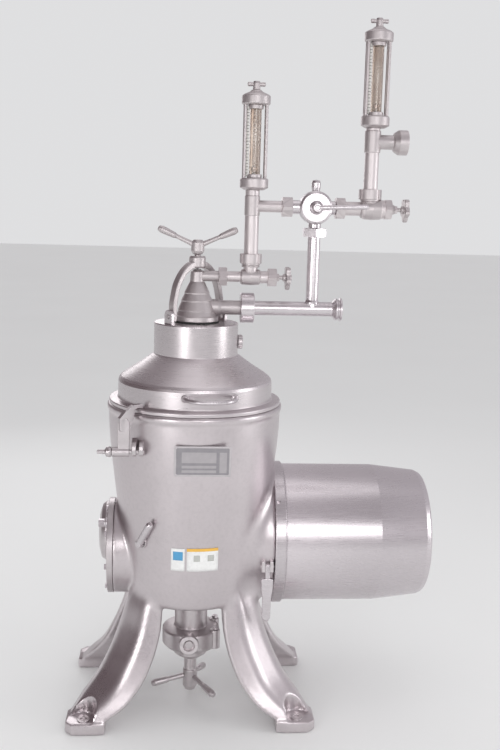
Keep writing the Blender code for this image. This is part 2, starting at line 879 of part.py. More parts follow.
def make_clamp(side):
    """A hinged plate whose finger reaches over the hood's flange, and the pin that it turns on."""
    turn = clamp_turn(side)
    at = clamp_place(side, 0, CLAMP_PIVOT_Y, CLAMP_PIVOT_Z)
    along = (0, math.pi / 2, turn)
    arm = rod(f"clamp_arm_{side}", CAST, 0.0100, -0.2090, -0.1660, at, along, SMALL)
    blade_at = clamp_place(side, -0.180, CLAMP_PIVOT_Y - 0.002, 0)
    join(arm, box(f"clamp_blade_{side}", CAST, (-0.0145, -0.006, 0.746), (0.0145, 0.006, 0.838), blade_at,
                  (0, 0, turn)))
    finger_turn = (math.pi / 2, 0, turn + math.radians(35.2))
    join(arm, plate(f"clamp_finger_{side}", CAST, FINGER_OUTLINE, 0.013, blade_at, finger_turn))
    cut(arm, rod(f"arm_bore_{side}", CAST, 0.0064, -0.25, -0.10, at, along, SMALL))
    profile = [
        (0, -0.1285),
        (0.0057, -0.1285),
        (0.0057, -0.2105),
        (0.0110, -0.2110),
        (0.0120, -0.2180),
        (0.0100, -0.2240),
        (0.0050, -0.2260),
        (0.0045, -0.2455),
        (0, -0.2465),
    ]
    turned(f"clamp_pin_{side}", CAST, profile, at, along, TINY)


# ---------------------------------------------------------------- outlets


def make_outlet_casting():
    profile = [
        (0, 1.1925),
        (0.009, 1.1925),
        (0.018, 1.186),
        (0.019, 1.160),
        (0.022, 1.154),
        (0.034, 1.130),
        (0.041, 1.112),
        (0.050, 1.084),
        (0.054, 1.072),
        (0.0575, 1.068),
        (0.0580, 1.0566),
        (0, 1.0566),
    ]
    casting = turned("outlet_casting", BLASTED, profile, segments=MIDDLE)
    at = (0, 0, SKIM_Z)
    join(casting, rod("skim_nozzle", BLASTED, 0.0190, 0.01, 0.1364, at, "X", MIDDLE))
    at = (0, 0, CREAM_Z)
    join(casting, rod("cream_nozzle", BLASTED, 0.0150, 0.005, 0.0660, at, "X", SMALL))
    cut(casting, rod("tube_bore", BLASTED, 0.0186, 1.0, 1.064, segments=MIDDLE))
    sleeve("outlet_gasket", RUBBER, 0.0595, 0.022, NECK_TOP - 0.006, 1.0563)


def make_bail():
    """The arch that holds the outlet casting down, in the plane of its two ears."""
    outer = [(0.0875, -0.014), (0.0875, 0.036), (0.0760, 0.086), (0.0540, 0.120), (0.024, 0.142)]
    inner = [(0.0755, -0.014), (0.0755, 0.033), (0.0650, 0.078), (0.0440, 0.110), (0.020, 0.124)]
    outline = outer + [(-x, y) for x, y in reversed(outer)]
    outline += [(-x, y) for x, y in inner] + list(reversed(inner))
    at = (0, 0, BAIL_PIVOT_Z)
    turn = math.radians(BAIL_ANGLE)
    bail = plate("bail", BLASTED, outline, 0.022, at, (math.pi / 2, 0, turn))
    join(bail, rod("bail_boss", BLASTED, 0.022, 0.124, 0.155, at, "Z", SMALL))
    cut(bail, rod("bail_screw_hole", BLASTED, 0.0086, 0.1, 0.2, at, "Z", SMALL))
    for number, (low, high) in enumerate(((-0.1005, -0.0765), (0.0765, 0.1005))):
        rotation = (0, math.pi / 2, turn)
        join(bail, rod(f"bail_pin_{number}", BLASTED, 0.0056, low, high, at, rotation, TINY))


def make_bail_screw():
    """The screw ends in a ball, so that the bail can swing off the casting."""
    tip = 1.1932
    ball = 0.0078
    profile = [(0, 1.270), (0.012, 1.269), (0.0175, 1.262), (0.0175, 1.240), (0.013, 1.232)]
    profile += [(ball, 1.231)]
    for step in range(5):
        turn = math.pi / 2 * step / 4
        profile.append((ball * math.cos(turn), tip + ball - ball * math.sin(turn)))
    screw = turned("bail_screw", BLASTED, profile, segments=SMALL)
    for number, turn in enumerate((0, math.pi)):
        arm = [
            (0, 0.114),
            (0.006, 0.112),
            (0.0088, 0.102),
            (0.0075, 0.068),
            (0.0050, 0.060),
            (0.0060, 0.008),
            (0, 0.008),
        ]
        join(screw, turned(f"bail_arm_{number}", BLASTED, arm, (0, 0, 1.252), (0, math.radians(66), turn),
                           TINY))


def star(lobes, radius, depth, steps):
    """The outline of a lobed handwheel."""
    points = []
    for step in range(steps):
        turn = 2 * math.pi * step / steps
        reach = radius - depth * (0.5 - 0.5 * math.cos(lobes * turn))
        points.append((reach * math.cos(turn), reach * math.sin(turn)))
    return points


def make_handwheel(name, height, gland_end):
    """A star wheel on its stem, along X."""
    wheel_middle = gland_end + 0.030
    stem = [
        (0, wheel_middle + 0.011),
        (0.007, wheel_middle + 0.011),
        (0.010, wheel_middle + 0.006),
        (0.010, wheel_middle - 0.012),
        (0.0055, wheel_middle - 0.014),
        (0.0055, gland_end - 0.024),
        (0, gland_end - 0.024),
    ]
    wheel = turned(name, BLASTED, stem, (0, 0, height), "X", TINY)
    rim = plate(
        f"{name}_rim",
        BLASTED,
        star(5, 0.0325, 0.007, 40),
        0.013,
        (wheel_middle, 0, height),
        ALONG["X"],
    )
    join(wheel, rim)


def make_cream_line():
    at = (0, 0, CREAM_Z)
    sleeve("cream_union_nut", BLASTED, 0.0275, 0.0165, 0.0563, 0.078, at, "X", MIDDLE)
    body = [
        (0, 0.209),
        (0.026, 0.209),
        (0.026, 0.186),
        (0.0185, 0.185),
        (0.0185, 0.116),
        (0.0138, 0.114),
        (0.0138, 0.0663),
        (0, 0.0663),
    ]
    pipe = turned("cream_pipe", BLASTED, body, at, "X", MIDDLE)
    riser = [
        (0, CREAM_METER_Z - GAP),
        (0.0185, CREAM_METER_Z - GAP),
        (0.0185, 1.237),
        (0.0290, 1.236),
        (0.0290, 1.211),
        (0.0185, 1.210),
        (0.0185, 1.170),
        (0, 1.170),
    ]
    join(pipe, turned("cream_riser", BLASTED, riser, (CREAM_RISER_X, 0, 0), "Z", MIDDLE))
    branch = [(0, 0.245), (0.029, 0.245), (0.029, 0.218), (0.015, 0.217), (0.015, 0.135), (0, 0.135)]
    join(pipe, turned("cream_branch", BLASTED, branch, (0, 0, BRANCH_Z), "X", MIDDLE))
    cut(pipe, rod("gland_bore", BLASTED, 0.0062, 0.180, 0.25, at, "X", TINY))
    make_handwheel("cream_handwheel", CREAM_Z, 0.209)


def make_skim_line():
    at = (0, 0, SKIM_Z)
    sleeve("skim_union_nut", POLISHED, 0.040, 0.0202, 0.115, 0.152, at, "X", MIDDLE)
    run = [
        (0, 0.386),
        (0.031, 0.386),
        (0.031, 0.360),
        (0.0190, 0.358),
        (0.0190, 0.1367),
        (0, 0.1367),
    ]
    pipe = turned("skim_pipe", POLISHED, run, at, "X", MIDDLE)
    riser = [
        (0, 1.307),
        (0.033, 1.307),
        (0.033, 1.286),
        (0.0165, 1.285),
        (0.0165, SKIM_Z),
        (0, SKIM_Z),
    ]
    join(pipe, turned("skim_riser", POLISHED, riser, (COCK_X, 0, 0), "Z", MIDDLE))
    cut(pipe, rod("skim_mouth", POLISHED, 0.0175, 0.335, 0.40, at, "X", MIDDLE))


def make_cock():
    at = (COCK_X, 0, BRANCH_Z)
    body = rod("cock_body", POLISHED, 0.043, -0.026, 0.026, at, "Y", MIDDLE)
    port_ends = {"left": ("-X", COCK_X - 0.2453), "right": ("X", 0.3587 - COCK_X)}
    for side, (along, reach) in port_ends.items():
        join(body, rod(f"port_{side}", POLISHED, 0.0178, 0.02, reach, at, along, SMALL))
    join(body, rod("port_bottom", POLISHED, 0.0178, -(BRANCH_Z - 1.3073), -0.02, at, "Z", SMALL))
    stub = [(0, 0.072), (0.010, 0.070), (0.012, 0.064), (0.012, 0.052), (0.008, 0.030), (0, 0.030)]
    join(body, turned("cock_stub", POLISHED, stub, at, "Z", SMALL))
    cut(body, rod("plug_bore", POLISHED, 0.0182, -0.05, 0.05, at, "Y", MIDDLE))
    plug = [
        (0, 0.046),
        (0.010, 0.046),
        (0.014, 0.040),
        (0.0175, 0.030),
        (0.0175, -0.030),
        (0.010, -0.034),
        (0, -0.034),
    ]
    cock = turned("cock_plug", POLISHED, plug, at, "-Y", MIDDLE)
    lever = [(0, 0.134), (0.005, 0.134), (0.0068, 0.130), (0.0062, 0.006), (0, 0.006)]
    lever_at = (COCK_X, -0.041, BRANCH_Z)
    join(cock, turned("cock_lever", POLISHED, lever, lever_at, (0, math.radians(87.5), 0), TINY))


def make_feed_line():
    at = (0, 0, BRANCH_Z)
    body = [
        (0, 0.516),
        (0.030, 0.516),
        (0.030, 0.491),
        (0.0240, 0.490),
        (0.0240, 0.426),
        (0.018, 0.424),
        (0.018, 0.384),
        (0.031, 0.383),
        (0.031, 0.359),
        (0, 0.359),
    ]
    pipe = turned("feed_pipe", BLASTED, body, at, "X", MIDDLE)
    riser = [
        (0, FEED_METER_Z - GAP),
        (0.0185, FEED_METER_Z - GAP),
        (0.0185, 1.412),
        (0.0300, 1.411),
        (0.0300, 1.384),
        (0.0185, 1.383),
        (0.0185, 1.355),
        (0, 1.355),
    ]
    join(pipe, turned("feed_riser", BLASTED, riser, (FEED_RISER_X, 0, 0), "Z", MIDDLE))
    inlet = [(0, 0.541), (0.032, 0.541), (0.032, 0.505), (0.0185, 0.503), (0.0185, 0.445), (0, 0.445)]
    inlet_at = (0, 0, 1.533)
    join(pipe, turned("feed_inlet", BLASTED, inlet, inlet_at, "X", MIDDLE))
    cut(pipe, rod("feed_mouth", BLASTED, 0.0165, 0.490, 0.56, inlet_at, "X", MIDDLE))
    cut(pipe, rod("feed_gland_bore", BLASTED, 0.0062, 0.486, 0.56, at, "X", TINY))
    make_handwheel("feed_handwheel", BRANCH_Z, 0.516)


def make_flow_meter(kind, at_x, base):
    """A cage of two rings and four rods around a glass tube with a float, and a tap on top."""
    at = (at_x, 0, base)
    foot = [
        (0, 0.030),
        (METER_RING_RADIUS - 0.003, 0.030),
        (METER_RING_RADIUS, 0.027),
        (METER_RING_RADIUS, 0.006),
        (0.026, 0),
        (0, 0),
    ]
    cage = turned(f"{kind}_meter_cage", BLASTED, foot, at, "Z", MIDDLE)
    top = [
        (0.012, 0.252),
        (0.018, 0.247),
        (0.030, 0.241),
        (METER_RING_RADIUS, 0.237),
        (METER_RING_RADIUS, 0.217),
        (0.033, 0.2145),
        (0.0062, 0.2145),
        (0.0062, 0.252),
    ]
    join(cage, turned(f"{kind}_cage_top", BLASTED, top, at, "Z", MIDDLE, ring=True))
    for number, angle in enumerate((18, 162, 198, 342)):
        rotated = Vector(around(angle, 0.029)) + Vector(at)
        join(cage, rod(f"{kind}_rod_{number}", BLASTED, 0.0042, 0.02, 0.222, rotated, "Z", 10))
    sleeve(f"{kind}_meter_glass", GLASS, 0.0150, 0.0115, 0.0303, 0.2142, at, "Z", MIDDLE)
    bob = [(0, 0.062), (0.0085, 0.058), (0.0085, 0.050), (0.003, 0.0306), (0, 0.0306)]
    turned(f"{kind}_meter_float", STEEL, bob, at, "Z", TINY)
    stem = [
        (0, 0.274),
        (0.0085, 0.274),
        (0.0095, 0.268),
        (0.0095, 0.2523),
        (0.0056, 0.2523),
        (0.0056, 0.205),
        (0, 0.205),
    ]
    tap = turned(f"{kind}_meter_tap", BLASTED, stem, at, "Z", TINY)
    bar_at = (at_x, 0, base + 0.266)
    bar = [(0, 0.024), (0.0055, 0.022), (0.0045, 0), (0.0055, -0.022), (0, -0.024)]
    join(tap, turned(f"{kind}_tap_bar", BLASTED, bar, bar_at, "X", 8))


def main():
    make_frame()
    make_gear_cover()
    make_name_plate()
    make_brake_handle()
    make_drive()
    make_motor_lever()
    make_spindle()
    make_bowl()
    make_hood()
    for side in HANDLE_ANGLES:
        make_hood_handle(side)
    make_neck_knob()
    for side in CLAMP_SIDES:
        make_clamp(side)
    make_outlet_casting()
    make_bail()
    make_bail_screw()
    make_cream_line()
    make_skim_line()
    make_cock()
    make_feed_line()
    make_flow_meter("cream", CREAM_RISER_X + 0.003, CREAM_METER_Z)
    make_flow_meter("feed", FEED_RISER_X + 0.004, FEED_METER_Z)


main()
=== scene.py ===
"""The looks of a disc cream separator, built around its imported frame.

Metres, +Z up. Places are given in the machine's own frame, whose origin stands under the spindle:
ORIGIN carries it to the row frame. Turned profiles hold (radius, height) down the outer side.
"""

import math

import bmesh
import bpy
import numpy as np
from mathutils import Matrix, Vector


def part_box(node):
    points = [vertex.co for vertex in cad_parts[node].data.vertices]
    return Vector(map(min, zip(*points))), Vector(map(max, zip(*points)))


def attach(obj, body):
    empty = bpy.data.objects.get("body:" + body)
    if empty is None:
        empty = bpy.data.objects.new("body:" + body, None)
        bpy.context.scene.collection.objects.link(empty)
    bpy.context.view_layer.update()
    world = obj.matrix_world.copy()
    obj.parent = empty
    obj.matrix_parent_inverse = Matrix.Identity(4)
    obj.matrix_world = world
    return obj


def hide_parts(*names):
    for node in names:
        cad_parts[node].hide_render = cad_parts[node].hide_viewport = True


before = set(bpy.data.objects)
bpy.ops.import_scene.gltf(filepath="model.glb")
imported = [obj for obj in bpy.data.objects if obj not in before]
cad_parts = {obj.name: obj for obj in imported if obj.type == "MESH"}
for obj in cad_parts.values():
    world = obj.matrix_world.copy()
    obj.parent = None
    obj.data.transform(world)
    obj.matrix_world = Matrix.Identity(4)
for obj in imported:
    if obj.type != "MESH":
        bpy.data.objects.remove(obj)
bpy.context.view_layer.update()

STAND = "stand"


def middle(node):
    low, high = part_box(node)
    return (low + high) / 2


ORIGIN = Vector((middle("spindle").x, middle("spindle").y, 0))


# ---------------------------------------------------------------- materials


class Tree:
    """A short way to write a shader's nodes."""

    def __init__(self, name):
        self.look = bpy.data.materials.new(name)
        self.look.use_nodes = True
        self.nodes = self.look.node_tree.nodes
        self.links = self.look.node_tree.links
        self.shader = self.nodes["Principled BSDF"]
        self.place = self.nodes.new("ShaderNodeTexCoord").outputs["Object"]

    def node(self, kind, sockets=None, **values):
        """A node with its settings, and with its input sockets fed by name or number."""
        made = self.nodes.new("ShaderNode" + kind)
        for key, value in values.items():
            setattr(made, key, value)
        for key, value in (sockets or {}).items():
            self.feed(made.inputs[key], value)
        return made

    def feed(self, socket, value):
        if isinstance(value, bpy.types.NodeSocket):
            self.links.new(value, socket)
        else:
            socket.default_value = value

    def noise(self, scale, detail=3.0, stretch=(1, 1, 1), distortion=0.0):
        """Noise in the object's own coordinates, stretched."""
        place = self.node("Mapping", {"Vector": self.place, "Scale": stretch}).outputs["Vector"]
        sockets = {"Vector": place, "Scale": scale, "Detail": detail, "Distortion": distortion}
        return self.node("TexNoise", sockets).outputs["Fac"]

    def span(self, value, low, high, start=0.0, end=1.0):
        """value carried from start..end to low..high."""
        sockets = {"Value": value, "From Min": start, "From Max": end, "To Min": low, "To Max": high}
        return self.node("MapRange", sockets).outputs["Result"]

    def math(self, operation, first, second=0.0):
        return self.node("Math", {0: first, 1: second}, operation=operation).outputs[0]

    def mix(self, part, first, second):
        return self.node("Mix", {"Factor": part, 6: first, 7: second}, data_type="RGBA").outputs[2]

    def bump(self, height, depth, under=None):
        sockets = {"Strength": 1.0, "Distance": depth, "Height": height}
        if under is not None:
            sockets["Normal"] = under
        return self.node("Bump", sockets).outputs["Normal"]

    def edges(self, low, high):
        """0 on flat places and 1 on worn convex edges."""
        made = self.node("NewGeometry")
        return self.span(made.outputs["Pointiness"], 0, 1, low, high)

    def put(self, name, value):
        self.feed(self.shader.inputs[name], value)


def shade(colour, factor):
    return tuple(min(1.0, part * factor) for part in colour) + (1,)


def metal(name, colour, rough, grain, grain_scale, blotch=0.07, swing=0.10, bump=0.00002,
          lumps=0.0, lump_scale=60.0, anisotropic=0.0, smudge=5.0, streak=0.85):
    """Bare metal: fine grain along its brushing, soft blotches, lumps of the casting, worn edges."""
    tree = Tree(name)
    tree.put("Metallic", 1.0)
    blotches = tree.noise(smudge, 5.0, distortion=0.4)
    fine = tree.noise(grain_scale, 2.0, grain)
    streaks = tree.noise(grain_scale / 7, 3.0, grain)
    base = tree.mix(tree.span(blotches, 0, 1, 0.3, 0.7), shade(colour, 1 - blotch), shade(colour, 1 + blotch))
    base = tree.mix(tree.span(streaks, 0, 0.35, 0.45, 0.75), base, shade(colour, streak))
    base = tree.mix(tree.edges(0.53, 0.60), base, shade(colour, 1.18))
    tree.put("Base Color", base)
    roughness = tree.math("ADD", tree.span(blotches, rough - swing / 2, rough + swing / 2, 0.3, 0.7),
                          tree.span(fine, -0.05, 0.05, 0.3, 0.7))
    tree.put("Roughness", roughness)
    normal = tree.bump(fine, bump)
    if lumps:
        normal = tree.bump(tree.noise(lump_scale, 4.0), lumps, normal)
    tree.put("Normal", normal)
    if anisotropic:
        tree.put("Anisotropic", anisotropic)
        tangent = tree.node("Tangent", direction_type="RADIAL", axis="Z")
        tree.put("Tangent", tangent.outputs["Tangent"])
    return tree.look


RINGS = (0.03, 0.03, 1.0)
LENGTHWAYS = (1.0, 1.0, 0.03)
EVEN = (1.0, 1.0, 1.0)

SATIN = metal("satin_steel", (0.67, 0.625, 0.64), 0.30, RINGS, 900.0, blotch=0.045, anisotropic=0.45, smudge=4.0,
              streak=0.90)
CAST = metal("polished_casting", (0.66, 0.612, 0.628), 0.33, EVEN, 700.0, blotch=0.05, lumps=0.00022,
             lump_scale=26.0, swing=0.12)
CAST_SMALL = metal("cast_steel", (0.64, 0.60, 0.61), 0.38, EVEN, 800.0, lumps=0.0001, lump_scale=160.0,
                   smudge=22.0)
BLASTED = metal("blasted_steel", (0.63, 0.588, 0.592), 0.47, EVEN, 1500.0, blotch=0.06, bump=0.00006,
                lumps=0.00010, lump_scale=220.0, smudge=18.0)
SPUN = metal("spun_steel", (0.66, 0.618, 0.64), 0.30, (1.0, 0.03, 0.03), 700.0, blotch=0.05, swing=0.06, bump=0.00001,
             smudge=3.0, streak=0.94)
POLISHED = metal("polished_steel", (0.70, 0.66, 0.68), 0.29, LENGTHWAYS, 900.0, smudge=14.0, bump=0.00001)
MACHINED = metal("machined_steel", (0.56, 0.56, 0.57), 0.30, RINGS, 1300.0, bump=0.00003, anisotropic=0.4)
BRONZE = metal("bronze", (0.62, 0.42, 0.20), 0.33, RINGS, 900.0, smudge=20.0)
IRON = metal("painted_iron", (0.16, 0.17, 0.18), 0.55, EVEN, 900.0, lumps=0.0002, lump_scale=120.0)


def rubber_look():
    tree = Tree("black_rubber")
    grain = tree.noise(900.0, 3.0)
    tree.put("Base Color", tree.mix(tree.noise(30.0), (0.018, 0.018, 0.018, 1), (0.045, 0.044, 0.043, 1)))
    tree.put("Roughness", tree.span(grain, 0.60, 0.85))
    tree.put("Normal", tree.bump(grain, 0.00008))
    return tree.look


def glass_look():
    """Sight glass with a thin brown film left by the milk."""
    tree = Tree("sight_glass")
    film = tree.noise(40.0, 4.0, (1, 1, 0.25))
    tree.put("Base Color", tree.mix(tree.span(film, 0, 1, 0.35, 0.7), (0.86, 0.80, 0.74, 1), (0.62, 0.50, 0.42, 1)))
    tree.put("Roughness", tree.span(film, 0.04, 0.16))
    tree.put("Transmission Weight", 0.85)
    tree.put("IOR", 1.47)
    tree.put("Normal", tree.bump(tree.noise(300.0), 0.00001))
    return tree.look


def plate_look(half_width, half_height):
    """An etched plate: a bright frame, a dark field and three blank panels, without any lettering."""
    tree = Tree("etched_plate")
    tree.put("Metallic", 1.0)
    parts = tree.node("SeparateXYZ", {0: tree.place})
    across = parts.outputs["X"]
    upward = parts.outputs["Z"]

    def inside(x_low, x_high, z_low, z_high):
        held = [tree.math("GREATER_THAN", across, x_low), tree.math("LESS_THAN", across, x_high),
                tree.math("GREATER_THAN", upward, z_low), tree.math("LESS_THAN", upward, z_high)]
        return tree.math("MULTIPLY", tree.math("MULTIPLY", *held[:2]), tree.math("MULTIPLY", *held[2:]))

    border = 0.005
    field = inside(-half_width + border, half_width - border, -half_height + border, half_height - border)
    blank = inside(-0.052, 0.034, -0.004, 0.024)
    blank = tree.math("MAXIMUM", blank, inside(-0.052, 0.034, -0.018, -0.011))
    blank = tree.math("MAXIMUM", blank, inside(-0.052, 0.034, -0.030, -0.023))
    blank = tree.math("MAXIMUM", blank, inside(0.042, 0.060, -0.030, 0.024))
    stain = tree.noise(70.0, 5.0)
    dark = tree.mix(stain, (0.30, 0.29, 0.31, 1), (0.42, 0.40, 0.42, 1))
    bright = tree.mix(stain, (0.55, 0.52, 0.54, 1), (0.68, 0.65, 0.66, 1))
    colour = tree.mix(field, bright, dark)
    colour = tree.mix(tree.math("MULTIPLY", blank, 0.55), colour, bright)
    tree.put("Base Color", colour)
    tree.put("Roughness", tree.span(stain, 0.32, 0.50))
    tree.put("Normal", tree.bump(tree.math("SUBTRACT", 1.0, field), 0.0002))
    return tree.look


def plain_look(name, colour, rough, scale=120.0):
    """Printed film or plastic, slightly uneven."""
    tree = Tree(name)
    spots = tree.noise(scale, 4.0)
    tree.put("Base Color", tree.mix(tree.span(spots, 0, 1, 0.3, 0.7), shade(colour, 0.92), shade(colour, 1.03)))
    tree.put("Roughness", tree.span(spots, rough - 0.06, rough + 0.06))
    tree.put("Normal", tree.bump(tree.noise(scale * 6), 0.00002))
    return tree.look


def scale_look(spacing):
    """A white enamelled strip with blank graduation lines."""
    tree = Tree("scale_strip")
    parts = tree.node("SeparateXYZ", {0: tree.place})
    phase = tree.math("FRACT", tree.math("DIVIDE", parts.outputs["Z"], spacing))
    line = tree.math("LESS_THAN", phase, 0.16)
    short = tree.math("GREATER_THAN", parts.outputs["X"], -0.0005)
    mark = tree.math("MULTIPLY", line, short)
    stain = tree.noise(60.0, 4.0)
    white = tree.mix(stain, (0.70, 0.68, 0.64, 1), (0.86, 0.85, 0.82, 1))
    tree.put("Base Color", tree.mix(mark, white, (0.06, 0.06, 0.06, 1)))
    tree.put("Roughness", tree.span(stain, 0.28, 0.45))
    return tree.look


RUBBER = rubber_look()
GLASS = glass_look()
FILM_WHITE = plain_look("sticker_white", (0.86, 0.86, 0.85), 0.38)
FILM_BLUE = plain_look("sticker_blue", (0.10, 0.36, 0.62), 0.38)
FILM_AMBER = plain_look("sticker_amber", (0.88, 0.52, 0.10), 0.38)
FILM_GREY = plain_look("sticker_grey", (0.52, 0.53, 0.50), 0.38)
SCALE = scale_look(0.008)


# ---------------------------------------------------------------- shapes

ALONG = {
    "Z": Matrix.Identity(4),
    "X": Matrix.Rotation(math.pi / 2, 4, "Y"),
    "-X": Matrix.Rotation(-math.pi / 2, 4, "Y"),
    "Y": Matrix.Rotation(-math.pi / 2, 4, "X"),
    "-Y": Matrix.Rotation(math.pi / 2, 4, "X"),
}


def turn_of(turn):
    """A matrix for the name of an axis, a matrix, or angles about X, Y and Z."""
    if isinstance(turn, str):
        return ALONG[turn]
    if isinstance(turn, Matrix):
        return turn.to_4x4()
    return Matrix.Rotation(turn[2], 4, "Z") @ Matrix.Rotation(turn[1], 4, "Y") @ Matrix.Rotation(turn[0], 4, "X")


def put(name, mesh, look, at=(0, 0, 0), turn="Z"):
    """A mesh placed in the machine's frame."""
    thing = bpy.data.objects.new(name, mesh)
    bpy.context.scene.collection.objects.link(thing)
    thing.matrix_world = Matrix.Translation(ORIGIN + Vector(at)) @ turn_of(turn)
    mesh.materials.append(look)
    return thing


def mesh_of(name, verts, faces):
    """A closed mesh with its faces pointing out, shaded smooth."""
    shape = bmesh.new()
    made = [shape.verts.new(co) for co in verts]
    for face in faces:
        shape.faces.new([made[i] for i in face])
    bmesh.ops.recalc_face_normals(shape, faces=shape.faces)
    mesh = bpy.data.meshes.new(name)
    shape.to_mesh(mesh)
    shape.free()
    mesh.shade_smooth()
    return mesh


def weigh(thing, angle=38):
    """Normals that keep broad faces flat and crisp corners crisp."""
    thing.data.set_sharp_from_angle(angle=math.radians(angle))
    step = thing.modifiers.new("Normals", "WEIGHTED_NORMAL")
    step.keep_sharp = True
    step.weight = 80
    return thing


def soften(profile, radius, closed, steps=3):
    """Rounds the corners of a profile, by at most radius."""
    points = [Vector(point) for point in profile]
    made = []
    for i, corner in enumerate(points):
        if not closed and i in (0, len(points) - 1):
            made.append(corner)
            continue
        into = points[i - 1] - corner
        away = points[(i + 1) % len(points)] - corner
        bend = math.pi - into.angle(away)
        if bend < 0.10 or radius <= 0:
            made.append(corner)
            continue
        reach = min(radius * math.tan(bend / 2), 0.45 * into.length, 0.45 * away.length)
        start = corner + into.normalized() * reach
        end = corner + away.normalized() * reach
        for step in range(steps + 1):
            part = step / steps
            made.append((1 - part) ** 2 * start + 2 * part * (1 - part) * corner + part**2 * end)
    return made


def rounded(outline, radius, steps=4, closed=True):
    return [tuple(point) for point in soften(outline, radius, closed, steps)]


def turned(name, look, profile, at=(0, 0, 0), turn="Z", ring=False, radius=0.0012, segments=None, steps=3):
    """A profile of (radius, height) turned about an axis. A ring's profile closes on itself."""
    points = soften(profile, radius, ring, steps)
    widest = max(point[0] for point in points)
    if segments is None:
        segments = 128 if widest > 0.1 else 88 if widest > 0.04 else 56 if widest > 0.014 else 32
    verts, rings, faces = [], [], []
    for reach, height in points:
        if reach < 1e-6:
            rings.append([len(verts)])
            verts.append((0, 0, height))
            continue
        rings.append(list(range(len(verts), len(verts) + segments)))
        for i in range(segments):
            angle = 2 * math.pi * i / segments
            verts.append((reach * math.cos(angle), reach * math.sin(angle), height))
    pairs = list(zip(rings, rings[1:]))
    if ring:
        pairs.append((rings[-1], rings[0]))
    for upper, lower in pairs:
        if len(upper) == 1 and len(lower) == 1:
            continue
        for i in range(segments):
            j = (i + 1) % segments
            if len(upper) == 1:
                faces.append((upper[0], lower[i], lower[j]))
            elif len(lower) == 1:
                faces.append((upper[i], lower[0], upper[j]))
            else:
                faces.append((upper[i], lower[i], lower[j], upper[j]))
    return weigh(put(name, mesh_of(name, verts, faces), look, at, turn))


def rod(name, look, reach, low, high, at=(0, 0, 0), turn="Z", radius=0.0008, segments=None):
    return turned(name, look, [(0, high), (reach, high), (reach, low), (0, low)], at, turn, False, radius, segments)


def bore(reach, low, high, at=(0, 0, 0), turn="Z"):
    """A sharp-edged rod, to cut a hole with."""
    return rod("c_bore", CAST, reach, low, high, at, turn, radius=0)


def slab(name, look, outline, thickness, at=(0, 0, 0), turn="Z", bevel=0.0010, steps=3):
    """A flat outline in X and Y with half its thickness to each side, and rounded edges."""
    count = len(outline)
    verts = [(x, y, -thickness / 2) for x, y in outline] + [(x, y, thickness / 2) for x, y in outline]
    faces = [tuple(reversed(range(count))), tuple(range(count, 2 * count))]
    faces += [(i, (i + 1) % count, count + (i + 1) % count, count + i) for i in range(count)]
    thing = put(name, mesh_of(name, verts, faces), look, at, turn)
    if bevel:
        step = thing.modifiers.new("Edges", "BEVEL")
        step.width = bevel
        step.segments = steps
        step.limit_method = "ANGLE"
        step.angle_limit = math.radians(38)
        step.harden_normals = False
    return weigh(thing)


def block(name, look, low, high, at=(0, 0, 0), turn="Z", bevel=0.0008):
    outline = [(low[0], low[1]), (high[0], low[1]), (high[0], high[1]), (low[0], high[1])]
    centre = Vector(at) + (turn_of(turn).to_3x3() @ Vector((0, 0, (low[2] + high[2]) / 2)))
    return slab(name, look, outline, high[2] - low[2], centre, turn, bevel)


def swept(name, look, points, radii):
    """A round bar along a run of points, with flat ends."""
    points = [Vector(point) for point in points]
    segments = 24
    verts, faces = [], []
    side = Vector((0, 0, 1))
    count = len(points)
    for i, point in enumerate(points):
        along = (points[min(i + 1, count - 1)] - points[max(i - 1, 0)]).normalized()
        across = (side - along * side.dot(along)).normalized()
        other = along.cross(across)
        side = across
        for k in range(segments):
            angle = 2 * math.pi * k / segments
            verts.append(point + radii[i] * (math.cos(angle) * across + math.sin(angle) * other))
    for i in range(count - 1):
        low, high = i * segments, (i + 1) * segments
        for k in range(segments):
            j = (k + 1) % segments
            faces.append((low + k, low + j, high + j, high + k))
    faces.append(tuple(reversed(range(segments))))
    faces.append(tuple(range((count - 1) * segments, count * segments)))
    return weigh(put(name, mesh_of(name, verts, faces), look), 60)


def applied(thing):
    """The object with its modifiers made part of its mesh."""
    bpy.context.view_layer.update()
    graph = bpy.context.evaluated_depsgraph_get()
    mesh = bpy.data.meshes.new_from_object(thing.evaluated_get(graph), preserve_all_data_layers=True, depsgraph=graph)
    mesh.name = thing.name
    thing.modifiers.clear()
    thing.data = mesh
    return thing


def combined(thing, tools, operation):
    """Tools joined to a piece or cut out of it, and then removed."""
    for piece in [thing, *tools]:
        for step in list(piece.modifiers):
            if step.type == "WEIGHTED_NORMAL":
                piece.modifiers.remove(step)
        applied(piece)
    for tool in tools:
        step = thing.modifiers.new("Step", "BOOLEAN")
        step.operation = operation
        step.object = tool
        step.solver = "MANIFOLD"
    applied(thing)
    for tool in tools:
        bpy.data.objects.remove(tool, do_unlink=True)
    thing.data.shade_smooth()
    return weigh(thing)


def fuse(thing, *tools):
    return combined(thing, tools, "UNION")


def carve(thing, *tools):
    return combined(thing, tools, "DIFFERENCE")


def around(angle, radius, height=0.0):
    """A place at an angle in degrees about the spindle."""
    turn = math.radians(angle)
    return Vector((radius * math.cos(turn), radius * math.sin(turn), height))


def stands(thing, body, *nodes, slot=None):
    """The piece rides on a body and stands for these nodes, whose parts are hidden. The slot argument is not used."""
    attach(thing, body)
    if nodes:
        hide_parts(*nodes)


